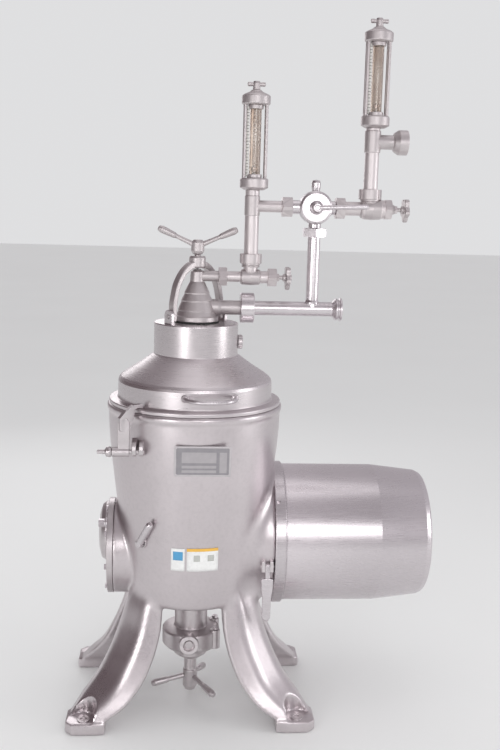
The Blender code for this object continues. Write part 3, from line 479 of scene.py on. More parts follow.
def nut(name, look, reach, low, high, at=(0, 0, 0), turn="Z", hole=0.0):
    """A hexagon nut with its corners turned off, between two heights along its axis."""
    tall = high - low
    chamfer = reach * 0.12
    profile = [(0, high), (reach * 0.88, high), (reach, high - chamfer * 0.6), (reach, low + chamfer * 0.6),
               (reach * 0.88, low), (0, low)]
    made = turned(name, look, profile, at, turn, radius=0.0)
    outline = [tuple(around(60 * i + 30, reach).xy) for i in range(6)]
    centre = Vector(at) + turn_of(turn).to_3x3() @ Vector((0, 0, (low + high) / 2))
    prism = slab(name + "_flats", look, outline, tall + 0.004, centre, turn, bevel=0.0)
    combined(made, [prism], "INTERSECT")
    if hole:
        carve(made, rod(name + "_hole", look, hole, low - 0.01, high + 0.01, at, turn, radius=0.0, segments=48))
    return made


# ---------------------------------------------------------------- frame casting

RIM_TOP = 0.8385
BODY_BOTTOM = 0.310
BODY_HEIGHTS = (0.310, 0.345, 0.420, 0.540, 0.645, 0.745, 0.815)
BODY_RADII = (0.172, 0.179, 0.189, 0.203, 0.215, 0.2255, 0.2285)
COVER_AT = (0, 0.030, 0.425)
SHAFT_AT = (0, 0.058, 0.456)
BRAKE_ANGLE, BRAKE_Z = 228.0, 0.492
PORT_AT = (-0.006, 0, 0.176)
LEVER_AT = (0.197, -0.1305, 0.421)
PAD_REACH = 0.3268
PAD_AT, PAD_HALF, PAD_CORNER = (0.2745, 0.18975), (0.0520, 0.0433), 0.5415
SPOT_AT, SPOT_RADIUS, SPOT_Z = (0.283, 0.203), 0.036, 0.0305
HALF_ROOT = 0.7071
LEG_HEIGHTS = (0.0, 0.030, 0.055, 0.105, 0.170, 0.240, 0.310, 0.400)
LEG_INNER_X = (0.246, 0.224, 0.184, 0.136, 0.103, 0.084, 0.078, 0.072)
LEG_OUTER_X = (0.3170, 0.3160, 0.2985, 0.2580, 0.2230, 0.1955, 0.1745, 0.1400)
LEG_INNER_Y = (0.1500, 0.1400, 0.1160, 0.0860, 0.0760, 0.0640, 0.0560, 0.0500)
LEG_OUTER_Y = (0.234, 0.2300, 0.2200, 0.198, 0.177, 0.159, 0.145, 0.120)
LEG_CUT = (0.018, 0.022, 0.040, 0.056, 0.058, 0.056, 0.050, 0.036)


def curve(heights, values, z):
    """A smooth curve through values given at heights."""
    heights = np.array(heights)
    values = np.array(values)
    slopes = np.gradient(values, heights)
    index = np.clip(np.searchsorted(heights, z) - 1, 0, len(heights) - 2)
    gap = heights[index + 1] - heights[index]
    part = np.clip((z - heights[index]) / gap, 0, 1)
    square, cube = part**2, part**3
    made = (2 * cube - 3 * square + 1) * values[index] + (cube - 2 * square + part) * gap * slopes[index]
    return made + (3 * square - 2 * cube) * values[index + 1] + (cube - square) * gap * slopes[index + 1]


def blend(first, second, width):
    """The nearer of two distances, with a fillet of about width where they meet."""
    part = np.clip(1 - np.abs(first - second) / width, 0, None)
    return np.minimum(first, second) - part * part * width / 4


def common(first, second, width):
    """The farther of two distances, with a round of about width where they meet."""
    return -blend(-first, -second, width)


def leg_field(x, y, z, side_x, side_y):
    """One leg: an outer face with its corner cut off, a hollow inner side, and a foot pad."""
    inner_x = curve(LEG_HEIGHTS, LEG_INNER_X, z)
    outer_x = curve(LEG_HEIGHTS, LEG_OUTER_X, z)
    inner_y = curve(LEG_HEIGHTS, LEG_INNER_Y, z)
    outer_y = curve(LEG_HEIGHTS, LEG_OUTER_Y, z)
    cut = curve(LEG_HEIGHTS, LEG_CUT, z)
    within, beyond = inner_x - side_x * x, side_x * x - outer_x
    behind, ahead = inner_y - side_y * y, side_y * y - outer_y
    slope = (beyond + ahead + cut) * HALF_ROOT
    outside = common(common(beyond, ahead, 0.002), slope, 0.016)
    inside = common(common(within, ahead, 0.012), common(beyond, behind, 0.012), 0.001)
    leg = np.maximum(outside, np.maximum(inside, (within + behind + 0.010) * HALF_ROOT))
    leg = np.maximum(leg, np.maximum(z - 0.40, 0.004 - z))
    wide = np.abs(side_x * x - PAD_AT[0]) - PAD_HALF[0]
    long = np.abs(side_y * y - PAD_AT[1]) - PAD_HALF[1]
    corner = side_x * x + side_y * y - PAD_CORNER
    pad = np.maximum(common(wide, long, 0.003), corner * HALF_ROOT)
    pad = common(pad, np.abs(z - 0.0154) - 0.0148, 0.005)
    return blend(leg, pad, 0.008)


def spot_field(x, y, z, side_x, side_y):
    """The round spot face above a foot pad."""
    reach = np.hypot(side_x * x - SPOT_AT[0], side_y * y - SPOT_AT[1])
    return np.maximum(reach - SPOT_RADIUS, np.maximum(SPOT_Z - z, z - 0.180))


def casting_field(x, y, z):
    """The distance to the frame casting, below zero inside it."""
    across = np.hypot(x, y)
    fitted = np.polynomial.Polynomial.fit(BODY_HEIGHTS, BODY_RADII, 4)
    body = across - fitted(np.clip(z, 0.30, 0.822))
    body = common(body, BODY_BOTTOM - z, 0.016)
    body = np.maximum(body, z - RIM_TOP)
    rim = common(across - 0.2325, np.abs(z - 0.8303) - 0.0082, 0.006)
    body = blend(body, rim, 0.006)
    cover = np.hypot(y - COVER_AT[1], z - COVER_AT[2])
    cover = common(cover - 0.1292, np.maximum(-0.2130 - x, x + 0.02), 0.001)
    motor = np.hypot(y - SHAFT_AT[1], z - SHAFT_AT[2])
    motor = common(motor - (0.168 + 0.075 * x), np.maximum(x - 0.2167, 0.02 - x), 0.004)
    made = body
    legs = None
    for side_x in (-1, 1):
        for side_y in (-1, 1):
            leg = leg_field(x, y, z, side_x, side_y)
            legs = leg if legs is None else np.minimum(legs, leg)
    made = blend(made, legs, 0.012)
    made = blend(made, cover, 0.008)
    made = blend(made, motor, 0.040)
    for side_x in (-1, 1):
        for side_y in (-1, 1):
            made = common(made, -spot_field(x, y, z, side_x, side_y), 0.003)
    return made


def surface_net(field, low, step):
    """The surface where a field on a grid changes sign.

    It has one point in each crossed cell, and one quad at each crossed edge.
    """
    inside = field < 0
    shape = np.array(field.shape) - 1
    corners = [np.array((i & 1, i >> 1 & 1, i >> 2 & 1)) for i in range(8)]
    held = sum(
        inside[c[0]:c[0] + shape[0], c[1]:c[1] + shape[1], c[2]:c[2] + shape[2]].astype(np.int8) for c in corners
    )
    active = (held > 0) & (held < 8)
    cells = np.argwhere(active)
    index = np.full(active.shape, -1)
    index[active] = np.arange(len(cells))
    values = np.array([field[tuple((cells + c).T)] for c in corners])
    total = np.zeros((len(cells), 3))
    count = np.zeros(len(cells))
    for a in range(8):
        for axis in range(3):
            b = a | 1 << axis
            if a == b:
                continue
            crossed = (values[a] < 0) != (values[b] < 0)
            part = values[a][crossed] / (values[a][crossed] - values[b][crossed])
            total[crossed] += corners[a] + part[:, None] * (corners[b] - corners[a])
            count[crossed] += 1
    verts = np.array(low) + step * (cells + total / count[:, None])
    quads = []
    for axis in range(3):
        unit = np.eye(3, dtype=int)[axis]
        u = np.eye(3, dtype=int)[(axis + 1) % 3]
        v = np.eye(3, dtype=int)[(axis + 2) % 3]
        size = np.array(field.shape) - unit
        near = inside[: size[0], : size[1], : size[2]]
        far = inside[unit[0]:, unit[1]:, unit[2]:]
        edges = np.argwhere(near != far)
        starts = near[tuple(edges.T)]
        around_edge = [index[tuple((edges - shift).T)] for shift in (0 * unit, u, u + v, v)]
        quad = np.stack(around_edge, axis=1)
        quad[starts] = quad[starts][:, ::-1]
        quads.append(quad)
    return verts, np.concatenate(quads)


def mesh_from_arrays(name, verts, quads):
    mesh = bpy.data.meshes.new(name)
    mesh.vertices.add(len(verts))
    mesh.vertices.foreach_set("co", verts.astype(np.float32).ravel())
    mesh.loops.add(quads.size)
    mesh.loops.foreach_set("vertex_index", quads.astype(np.int32).ravel())
    mesh.polygons.add(len(quads))
    mesh.polygons.foreach_set("loop_start", np.arange(0, quads.size, 4, dtype=np.int32))
    mesh.update(calc_edges=True)
    mesh.validate()
    mesh.shade_smooth()
    return mesh


def make_casting():
    """The body with its legs and bosses as one skin, then the hollows that the insides stand in."""
    step = 0.0040
    low = (-0.344, -0.252, -0.008)
    spans = [np.arange(start, -start + step, step, dtype=np.float32) for start in low[:2]]
    spans.append(np.arange(low[2], 0.850, step, dtype=np.float32))
    x, y, z = np.meshgrid(*spans, indexing="ij")
    verts, quads = surface_net(casting_field(x, y, z), low, step)
    verts[:, 0] = np.clip(verts[:, 0], -PAD_REACH, PAD_REACH)
    verts[:, 2] = np.maximum(verts[:, 2], 0.0005)
    thing = put("frame_casting", mesh_from_arrays("frame_casting", verts, quads), CAST)
    smooth = thing.modifiers.new("Even", "SMOOTH")
    smooth.factor = 0.5
    smooth.iterations = 2
    applied(thing)
    hollows = [
        bore(0.200, 0.605, 0.9),
        bore(0.145, 0.330, 0.575),
        bore(0.096, -0.25, -0.05, COVER_AT, "X"),
        bore(0.155, 0.158, 0.25, SHAFT_AT, "X"),
        bore(0.0304, 0.05, 0.2, SHAFT_AT, "X"),
        bore(0.0325, 0.5, 0.7),
        bore(0.0364, 0.2, 0.4),
    ]
    carve(thing, *hollows)
    stands(thing, STAND, "frame")


def make_washers():
    """The washers round the anchor holes, on the spot faces."""
    for i, (side_x, side_y) in enumerate(((1, 1), (-1, 1), (-1, -1), (1, -1))):
        ring = [(0.0165, 0.0328), (0.0165, 0.0302), (0.0092, 0.0302), (0.0092, 0.0328)]
        at = (side_x * 0.279, side_y * 0.205, 0)
        washer = turned(f"anchor_washer_{i}", CAST_SMALL, ring, at, ring=True, radius=0.0004)
        stands(washer, STAND)


CLAMP_PIVOT_Y, CLAMP_PIVOT_Z = -0.195, 0.746


def clamp_turn(side):
    """The right clamp is the left one turned half way around the spindle."""
    return 0.0 if side == "left" else math.pi


def clamp_place(side, x, y, z):
    turn = clamp_turn(side)
    return x * math.cos(turn), y * math.cos(turn), z


def make_ears():
    outline = [(-0.156, 0.7300), (-0.195, 0.7340), (-0.206, 0.7400), (-0.2085, 0.7520), (-0.206, 0.7640),
               (-0.195, 0.7710), (-0.156, 0.7760)]
    outline = rounded(outline, 0.008)
    for side in ("left", "right"):
        for number, across in enumerate((-0.15425, -0.13625)):
            turn = (math.pi / 2, 0, math.pi / 2 + clamp_turn(side))
            at = clamp_place(side, across, 0, 0)
            ear = slab(f"clamp_ear_{side}_{number}", CAST_SMALL, outline, 0.0115, at, turn, 0.002)
            stands(ear, STAND)
    lug = block("lever_lug", CAST_SMALL, (0.181, -0.138, 0.405), (0.213, -0.095, 0.437), bevel=0.003)
    carve(lug, block("c_slot", CAST_SMALL, (0.1905, -0.16, 0.39), (0.2035, -0.1145, 0.45), bevel=0),
          bore(0.0042, 0.17, 0.23, (0, -0.1305, 0.421), "X"))
    stands(lug, STAND)


def make_cover():
    outer, face = -0.2133, -0.2293
    profile = [(0, outer), (0.130, outer), (0.130, face), (0.096, face), (0.094, face + 0.002), (0, face + 0.002)]
    cover = turned("cover_disc", CAST_SMALL, profile, COVER_AT, "X", radius=0.0015)
    stands(cover, STAND, "gear_cover")
    for i in range(8):
        angle = math.radians(45 * i + 12)
        at = (0, COVER_AT[1] + 0.114 * math.cos(angle), COVER_AT[2] + 0.114 * math.sin(angle))
        head = nut(f"cover_bolt_{i}", POLISHED, 0.0075, face - 0.0065, face - 0.0004, at, "X")
        stands(head, STAND, slot="satin_steel")
    top = face - 0.0003
    cap = [(0, top), (0.082, top), (0.082, top - 0.008), (0.074, top - 0.019), (0.052, top - 0.0255),
           (0.020, top - 0.0285), (0, top - 0.0288)]
    cap = turned("cover_cap", CAST_SMALL, cap, SHAFT_AT, "X", radius=0.006, steps=5)
    stands(cap, STAND, "gear_cover_cap")
    plug_at = (0, -0.035, 0.508)
    plug = [(0, -0.2135), (0.010, -0.2135), (0.010, top), (0.0138, top), (0.0138, top - 0.005), (0.0105, top - 0.006),
            (0.0105, top - 0.010), (0, top - 0.010)]
    plug = turned("filler_plug", POLISHED, plug, plug_at, "X", radius=0.0008)
    fuse(plug, nut("plug_hex", POLISHED, 0.0115, top - 0.024, top - 0.009, plug_at, "X"))
    stands(plug, STAND, "oil_filler_plug", slot="satin_steel")


def make_plate():
    half_width, half_height = 0.071, 0.040
    turn = (math.radians(6.0), 0, 0)
    at = Vector((0.017, -0.2262, 0.731))
    look = plate_look(half_width, half_height)
    corners = ((-1, -1), (1, -1), (1, 1), (-1, 1))
    verts = [(x * half_width, y, z * half_height) for y in (-0.0015, 0) for x, z in corners]
    faces = [(0, 1, 2, 3), (7, 6, 5, 4)] + [(i, 4 + i, 4 + (i + 1) % 4, (i + 1) % 4) for i in range(4)]
    plate = put("blank_plate", mesh_of("blank_plate", verts, faces), look, at, turn)
    bevel = plate.modifiers.new("Edges", "BEVEL")
    bevel.width = 0.0005
    bevel.segments = 2
    weigh(plate)
    stands(plate, STAND, "name_plate", slot="etched_plate")
    rotation = turn_of(turn).to_3x3()
    for i, (side_x, side_z) in enumerate(corners):
        place = at + rotation @ Vector((side_x * 0.066, -0.0013, side_z * 0.035))
        dome = [(0, 0.0014), (0.0014, 0.0010), (0.0022, 0.0), (0, 0.0)]
        head = turned(f"plate_rivet_{i}", POLISHED, dome, place, turn_of(turn) @ ALONG["-Y"], radius=0.0006)
        stands(head, STAND, slot="satin_steel")


def make_brake():
    angle = math.radians(BRAKE_ANGLE)
    at = around(BRAKE_ANGLE, 0.1975, BRAKE_Z)
    turn = (0, math.pi / 2, angle)
    pin = [(0, 0.0200), (0.0098, 0.0200), (0.0098, -0.030), (0, -0.030)]
    pin = turned("brake_pin", POLISHED, pin, at, turn, radius=0.002)
    grip = [(0, 0.0785), (0.0060, 0.0775), (0.0092, 0.072), (0.0098, 0.062), (0.0090, 0.0), (0, 0.0)]
    lean = (math.radians(-34), math.radians(4), angle)
    fuse(pin, turned("brake_grip", POLISHED, grip, around(BRAKE_ANGLE, 0.2100, BRAKE_Z), lean, radius=0.002, steps=5))
    stands(pin, "brake_handle", "brake_handle")
    collar = [(0.0145, 0.004), (0.0145, -0.012), (0.0104, -0.012), (0.0104, 0.004)]
    stands(turned("brake_collar", CAST_SMALL, collar, at, turn, ring=True), STAND)


def sticker(name, look, x_low, x_high, z_low, z_high, lift):
    """A thin film that follows the body's taper."""
    steps = 8
    fitted = np.polynomial.Polynomial.fit(BODY_HEIGHTS, BODY_RADII, 4)
    verts, faces = [], []
    for layer in (0.0, 0.00025):
        for k in range(steps + 1):
            z = z_low + (z_high - z_low) * k / steps
            for i in range(steps + 1):
                x = x_low + (x_high - x_low) * i / steps
                reach = float(fitted(z)) + lift + layer
                verts.append((x, -math.sqrt(reach**2 - x**2), z))
    row = steps + 1
    size = row * row
    for k in range(steps):
        for i in range(steps):
            a = k * row + i
            faces.append((size + a, size + a + 1, size + a + row + 1, size + a + row))
            faces.append((a, a + row, a + row + 1, a + 1))
    rim = [i for i in range(row)] + [k * row + steps for k in range(1, row)]
    rim += [steps * row + i for i in range(steps - 1, -1, -1)] + [k * row for k in range(steps - 1, 0, -1)]
    for i, a in enumerate(rim):
        b = rim[(i + 1) % len(rim)]
        faces.append((a, b, size + b, size + a))
    stands(put(name, mesh_of(name, verts, faces), look), STAND, slot="etched_plate")


def make_stickers():
    """Two blank stickers, one with a plain disc and one with a plain band."""
    sticker("sticker_left", FILM_WHITE, -0.058, -0.023, 0.430, 0.493, 0.0006)
    sticker("sticker_left_patch", FILM_BLUE, -0.053, -0.028, 0.460, 0.484, 0.0010)
    sticker("sticker_right", FILM_WHITE, -0.018, 0.063, 0.430, 0.493, 0.0006)
    sticker("sticker_right_band", FILM_AMBER, -0.018, 0.063, 0.4855, 0.4935, 0.0010)
    sticker("sticker_right_patch_0", FILM_GREY, 0.000, 0.016, 0.458, 0.475, 0.0010)
    sticker("sticker_right_patch_1", FILM_GREY, 0.036, 0.052, 0.458, 0.475, 0.0010)


# ---------------------------------------------------------------- motor


def make_motor():
    ring = [(0.197, 0.246), (0.197, 0.217), (0.130, 0.217), (0.130, 0.246)]
    ring = turned("adapter_ring", SPUN, ring, SHAFT_AT, "X", ring=True, radius=0.0025)
    mark = Matrix.Rotation(math.radians(-40), 4, "X")
    notch = slab("c_notch", SATIN, [(-0.006, 0.006), (0.0, -0.007), (0.006, 0.006)], 0.02,
                 (0.2255, -0.0926, 0.583), mark @ ALONG["-Y"], bevel=0)
    carve(ring, notch)
    stands(ring, STAND, "motor_adapter")
    wall, end = 0.003, 0.648
    outer = [(0, end), (0.150, end), (0.168, 0.6435), (0.1750, 0.628), (0.1895, 0.503), (0.190, 0.2463)]
    outer = rounded(outer, 0.014, 6, False)
    inner = [(max(reach - wall, 0), min(height, end - wall)) for reach, height in reversed(outer)]
    shroud = turned("shroud_can", SPUN, outer + inner, SHAFT_AT, "X", radius=0, segments=160)
    stands(shroud, STAND, "motor_shroud")
    bead = [(0.1915, 0.2500), (0.1915, 0.2468), (0.1899, 0.2468), (0.1899, 0.2500)]
    stands(turned("shroud_bead", SPUN, bead, SHAFT_AT, "X", ring=True, radius=0.0008), STAND)


def make_lever():
    outline = [(-0.008, 0.006), (-0.011, -0.010), (-0.014, -0.030), (-0.016, -0.110), (-0.016, -0.146),
               (-0.009, -0.150), (-0.004, -0.146), (-0.003, -0.110), (-0.001, -0.030), (0.006, -0.010),
               (0.006, 0.004), (0.000, 0.008)]
    lever = slab("clamp_lever", POLISHED, outline, 0.012, LEVER_AT, (math.pi / 2, 0, math.pi / 2), 0.0022, 4)
    plate = [(0.1800, 0.392), (0.1815, 0.356), (0.1845, 0.340), (0.1845, 0.284), (0.189, 0.2762), (0.203, 0.2762),
             (0.2075, 0.284), (0.2075, 0.340), (0.2105, 0.356), (0.2125, 0.392)]
    plate = rounded(plate, 0.008)
    fuse(lever, rod("lever_pin", POLISHED, 0.0038, -0.018, 0.018, LEVER_AT, "X"),
         slab("lever_blade", POLISHED, plate, 0.0118, (0, -0.1405, 0), (math.pi / 2, 0, 0), 0.002, 4))
    stands(lever, "motor_clamp_lever", "motor_clamp_lever")


# ---------------------------------------------------------------- under the body


def make_housing():
    housing = [(0.036, 0.345), (0.036, 0.3097), (0.058, 0.3097), (0.058, 0.296), (0.045, 0.290), (0.045, 0.203),
               (0.0765, 0.199), (0.0790, 0.194), (0.0790, 0.156), (0.070, 0.146), (0.046, 0.136), (0.046, 0.124),
               (0.030, 0.112), (0.0185, 0.112), (0.0185, 0.165), (0.0115, 0.176), (0.0115, 0.196), (0.0223, 0.196),
               (0.0223, 0.345)]
    body = turned("bearing_housing", CAST_SMALL, housing, ring=True, radius=0.004, steps=4)
    port = [(0, 0.0845), (0.0255, 0.0845), (0.0275, 0.0825), (0.0275, 0.060), (0, 0.060)]
    tools = [turned("housing_port", CAST_SMALL, port, PORT_AT, "-Y", radius=0.002)]
    for angle in (330, 30):
        lug = [(0, 0.204), (0.014, 0.204), (0.014, 0.150), (0, 0.150)]
        tools.append(turned("housing_lug", CAST_SMALL, lug, around(angle, 0.076), radius=0.003))
    fuse(body, *tools)
    carve(body, bore(0.0165, 0.0735, 0.090, PORT_AT, "-Y"))
    fuse(body, turned("port_plug", CAST_SMALL, [(0, 0.0795), (0.011, 0.0795), (0.0125, 0.070), (0, 0.070)],
                      PORT_AT, "-Y", radius=0.001))
    stands(body, STAND, "bottom_bearing_housing")
    for i, angle in enumerate((330, 30)):
        head = nut(f"housing_bolt_{i}", POLISHED, 0.0085, 0.2044, 0.2110, around(angle, 0.079))
        stands(head, STAND, slot="frame_steel")
    for i in range(6):
        head = nut(f"flange_bolt_{i}", POLISHED, 0.0050, 0.2925, 0.2965, around(60 * i + 30, 0.0525))
        stands(head, STAND, slot="frame_steel")


def make_height_screw():
    screw = [(0, 0.160), (0.015, 0.160), (0.0172, 0.155), (0.0172, 0.072), (0.0200, 0.070), (0.0200, 0.022),
             (0.0140, 0.010), (0, 0.010)]
    screw = turned("hand_screw", CAST_SMALL, screw, radius=0.003, steps=4)
    grooves = []
    for i in range(8):
        height = 0.082 + 0.004 * i
        ring = [(0.0185, height + 0.0009), (0.0185, height - 0.0009), (0.0164, height)]
        grooves.append(turned("c_thread", CAST_SMALL, ring, ring=True, radius=0))
    carve(screw, *grooves)
    arms = []
    for angle in (187, 307, 67):
        arm = [(0, 0.1118), (0.0070, 0.1105), (0.0100, 0.100), (0.0085, 0.066), (0.0066, 0.060), (0.0074, 0.010),
               (0, 0.010)]
        turn = (0, math.radians(102), math.radians(angle))
        arms.append(turned("screw_arm", CAST_SMALL, arm, (0, 0, 0.054), turn, radius=0.004, steps=5))
    fuse(screw, *arms)
    stands(screw, "height_screw", "height_screw")


# ---------------------------------------------------------------- hood

NECK_RADIUS = 0.1114
NECK_SCREW_Z = 1.002
HANDLE_Z = 0.884
NECK_TOP = 1.053
SKIRT_RADIUS = 0.2055
BAIL_ANGLE = 40.0
BAIL_PIVOT_Z = 1.072


def make_hood():
    profile = [(NECK_RADIUS, NECK_TOP), (NECK_RADIUS, 0.9695), (NECK_RADIUS + 0.003, 0.9675), (0.150, 0.9415),
               (0.1875, 0.9175), (0.1968, 0.9106), (0.2022, 0.9050), (0.2044, 0.8975), (SKIRT_RADIUS, 0.853),
               (0.228, 0.8505), (0.228, 0.8402), (0.2232, 0.8402), (0.2232, 0.8431), (0.1985, 0.8431),
               (0.1975, 0.902), (0.105, 0.9645), (0.105, 1.046), (0.060, 1.046), (0.060, NECK_TOP)]
    hood = turned("hood_dome", SATIN, profile, ring=True, radius=0.0035, segments=192, steps=5)
    ears = []
    for side in (-1, 1):
        outline = [(-0.015, -0.008), (0.015, -0.008), (0.015, 0.022)]
        for step in range(1, 20):
            turn = math.pi * step / 20
            outline.append((0.015 * math.cos(turn), 0.022 + 0.015 * math.sin(turn)))
        outline.append((-0.015, 0.022))
        at = around(BAIL_ANGLE, side * 0.093, NECK_TOP)
        turn = (math.pi / 2, 0, math.radians(BAIL_ANGLE + 90))
        ears.append(slab("bail_ear", SATIN, outline, 0.010, at, turn, 0.0015))
    fuse(hood, *ears)
    pivot = (0, math.pi / 2, math.radians(BAIL_ANGLE))
    carve(hood, bore(0.0062, -0.12, 0.12, (0, 0, BAIL_PIVOT_Z), pivot),
          bore(0.0062, 0.09, 0.13, (0, 0, NECK_SCREW_Z), "X"))
    stands(hood, STAND, "hood")
    seal = [(0.222, 0.8428), (0.222, 0.8388), (0.204, 0.8388), (0.204, 0.8428)]
    stands(turned("hood_seal", RUBBER, seal, ring=True, radius=0.001), STAND, "hood_gasket")


def make_handles():
    for side, angle in (("front", 280.0), ("rear", 100.0)):
        steps = 48
        points, radii = [], []
        for step in range(steps + 1):
            part = 2 * step / steps - 1
            rise = 0.046 * (1 - abs(part) ** 3.2)
            points.append(around(angle + 18.5 * part, SKIRT_RADIUS + 0.0018 + rise, HANDLE_Z))
            radii.append(0.0054)
        bar = swept(f"handle_bar_{side}", POLISHED, points, radii)
        stands(bar, STAND, f"hood_handle_{side}")
        for i, end in enumerate((-18.3, 18.3)):
            at = around(angle + end, SKIRT_RADIUS - 0.0005, HANDLE_Z)
            turn = (0, math.pi / 2, math.radians(angle + end))
            foot = [(0, 0.0032), (0.0062, 0.0030), (0.0095, 0.0008), (0.0100, -0.001), (0, -0.001)]
            stands(turned(f"handle_foot_{side}_{i}", SATIN, foot, at, turn), STAND)


def make_neck_knob():
    knob = [(0, 0.1243), (0.0155, 0.1243), (0.0188, 0.1215), (0.0188, NECK_RADIUS + 0.0005),
            (0.0058, NECK_RADIUS + 0.0005), (0.0058, 0.100), (0, 0.100)]
    knob = turned("neck_knob", CAST_SMALL, knob, (0, 0, NECK_SCREW_Z), "X", radius=0.0015)
    tools = []
    for i in range(16):
        angle = 2 * math.pi * i / 16
        at = (0, 0.0200 * math.cos(angle), NECK_SCREW_Z + 0.0200 * math.sin(angle))
        tools.append(rod("c_flute", CAST_SMALL, 0.0022, 0.10, 0.13, at, "X", radius=0, segments=16))
    carve(knob, *tools)
    stands(knob, "neck_screw", "neck_screw")


FINGER_OUTLINE = [(-0.0135, 0.800), (0.0135, 0.800), (0.0255, 0.830), (0.0310, 0.8540), (0.044, 0.8545),
                  (0.045, 0.8530), (0.0535, 0.8530), (0.0545, 0.8590), (0.048, 0.8640), (0.026, 0.8630),
                  (0.004, 0.8520), (-0.0135, 0.8340)]
BLADE_OUTLINE = [(-0.0145, 0.746), (0.0145, 0.746), (0.0145, 0.822), (0.0085, 0.832), (-0.0085, 0.832),
                 (-0.0145, 0.822)]


def make_clamps():
    for side in ("left", "right"):
        turn = clamp_turn(side)
        at = clamp_place(side, 0, CLAMP_PIVOT_Y, CLAMP_PIVOT_Z)
        along = (0, math.pi / 2, turn)
        blade_at = clamp_place(side, -0.180, CLAMP_PIVOT_Y - 0.002, 0)
        arm = rod(f"hook_{side}", CAST_SMALL, 0.0122, -0.2090, -0.1660, at, along, radius=0.0015)
        finger = rounded(FINGER_OUTLINE, 0.004)
        blade = rounded(BLADE_OUTLINE, 0.005)
        fuse(arm, slab("hook_blade", CAST_SMALL, blade, 0.012, blade_at, (math.pi / 2, 0, turn), 0.0018),
             slab("hook_finger", CAST_SMALL, finger, 0.013, blade_at, (math.pi / 2, 0, turn + math.radians(35.2)),
                  0.0018))
        carve(arm, bore(0.0064, -0.25, -0.10, at, along))
        stands(arm, f"clamp_arm_{side}", f"clamp_arm_{side}")
        pin = [(0, -0.1285), (0.0057, -0.1285), (0.0057, -0.2098), (0.0120, -0.2100), (0.0135, -0.2160),
               (0.0120, -0.2230), (0.0060, -0.2260), (0.0050, -0.2450), (0, -0.2465)]
        pin = turned(f"hook_pin_{side}", CAST_SMALL, pin, at, along, radius=0.0018, steps=4)
        stands(pin, f"clamp_pin_{side}", f"clamp_pin_{side}")


# ---------------------------------------------------------------- outlets and piping

SKIM_Z, CREAM_Z, BRANCH_Z = 1.093, 1.175, 1.360
CREAM_RISER_X, COCK_X, FEED_RISER_X = 0.140, 0.306, 0.450
CREAM_METER_Z, FEED_METER_Z = 1.401, 1.568
SKIM_AT, CREAM_AT, BRANCH_AT = (0, 0, SKIM_Z), (0, 0, CREAM_Z), (0, 0, BRANCH_Z)


def make_outlet():
    profile = [(0, 1.1925), (0.009, 1.1925), (0.0175, 1.186), (0.019, 1.160), (0.0225, 1.1545), (0.0335, 1.1310),
               (0.0325, 1.1285), (0.0415, 1.1110), (0.0405, 1.1085), (0.0495, 1.0860), (0.0485, 1.0835),
               (0.0535, 1.0720), (0.0572, 1.0690), (0.0578, 1.0566), (0, 1.0566)]
    casting = turned("outlet_body", BLASTED, profile, radius=0.0022, steps=4)
    nozzle = [(0, 0.1364), (0.0190, 0.1364), (0.0190, 0.064), (0.0215, 0.056), (0.0215, 0.01), (0, 0.01)]
    fuse(casting, turned("n_skim", BLASTED, nozzle, SKIM_AT, "X", radius=0.002),
         rod("n_cream", BLASTED, 0.0140, 0.005, 0.0660, CREAM_AT, "X"))
    carve(casting, bore(0.0186, 1.0, 1.064))
    stands(casting, STAND, "outlet_casting")
    seal = [(0.0595, 1.0563), (0.0595, 1.047), (0.022, 1.047), (0.022, 1.0563)]
    stands(turned("outlet_seal", RUBBER, seal, ring=True), STAND, "outlet_gasket")


def make_bail():
    outer = [(0.0875, -0.014), (0.0875, 0.036), (0.0760, 0.086), (0.0540, 0.120), (0.024, 0.142)]
    inner = [(0.0755, -0.014), (0.0755, 0.033), (0.0650, 0.078), (0.0440, 0.110), (0.020, 0.124)]
    outline = outer + [(-x, y) for x, y in reversed(outer)]
    outline += [(-x, y) for x, y in inner] + list(reversed(inner))
    outline = rounded(outline, 0.10, 6)
    at = (0, 0, BAIL_PIVOT_Z)
    angle = math.radians(BAIL_ANGLE)
    bail = slab("bail_arch", BLASTED, outline, 0.022, at, (math.pi / 2, 0, angle), 0.003, 4)
    boss = [(0, 0.155), (0.0195, 0.155), (0.022, 0.150), (0.022, 0.128), (0.018, 0.124), (0, 0.124)]
    tools = [turned("bail_boss", BLASTED, boss, at, radius=0.002)]
    for low, high in ((-0.1003, -0.0765), (0.0765, 0.1003)):
        tools.append(rod("bail_pin", BLASTED, 0.0056, low, high, at, (0, math.pi / 2, angle)))
    fuse(bail, *tools)
    carve(bail, bore(0.0086, 0.1, 0.2, at))
    stands(bail, "bail", "bail")


def make_bail_screw():
    ball, tip = 0.0078, 1.1932
    profile = [(0, 1.270), (0.012, 1.269), (0.0172, 1.262), (0.0172, 1.240), (0.013, 1.232), (ball, 1.231)]
    for step in range(9):
        turn = math.pi / 2 * step / 8
        profile.append((ball * math.cos(turn), tip + ball - ball * math.sin(turn)))
    screw = turned("bail_hand_screw", BLASTED, profile, radius=0.003, steps=4)
    arms = []
    for angle in (0, math.pi):
        arm = [(0, 0.1138), (0.0066, 0.1128), (0.0096, 0.104), (0.0094, 0.092), (0.0078, 0.068), (0.0056, 0.060),
               (0.0062, 0.030), (0.0076, 0.008), (0, 0.008)]
        turn = (0, math.radians(66), angle)
        arms.append(turned("bail_arm", BLASTED, arm, (0, 0, 1.252), turn, radius=0.004, steps=5))
    fuse(screw, *arms)
    stands(screw, "bail_screw", "bail_screw")


def star(lobes, radius, depth, steps):
    points = []
    for step in range(steps):
        turn = 2 * math.pi * step / steps
        reach = radius - depth * (0.5 - 0.5 * math.cos(lobes * turn))
        points.append((reach * math.cos(turn), reach * math.sin(turn)))
    return points


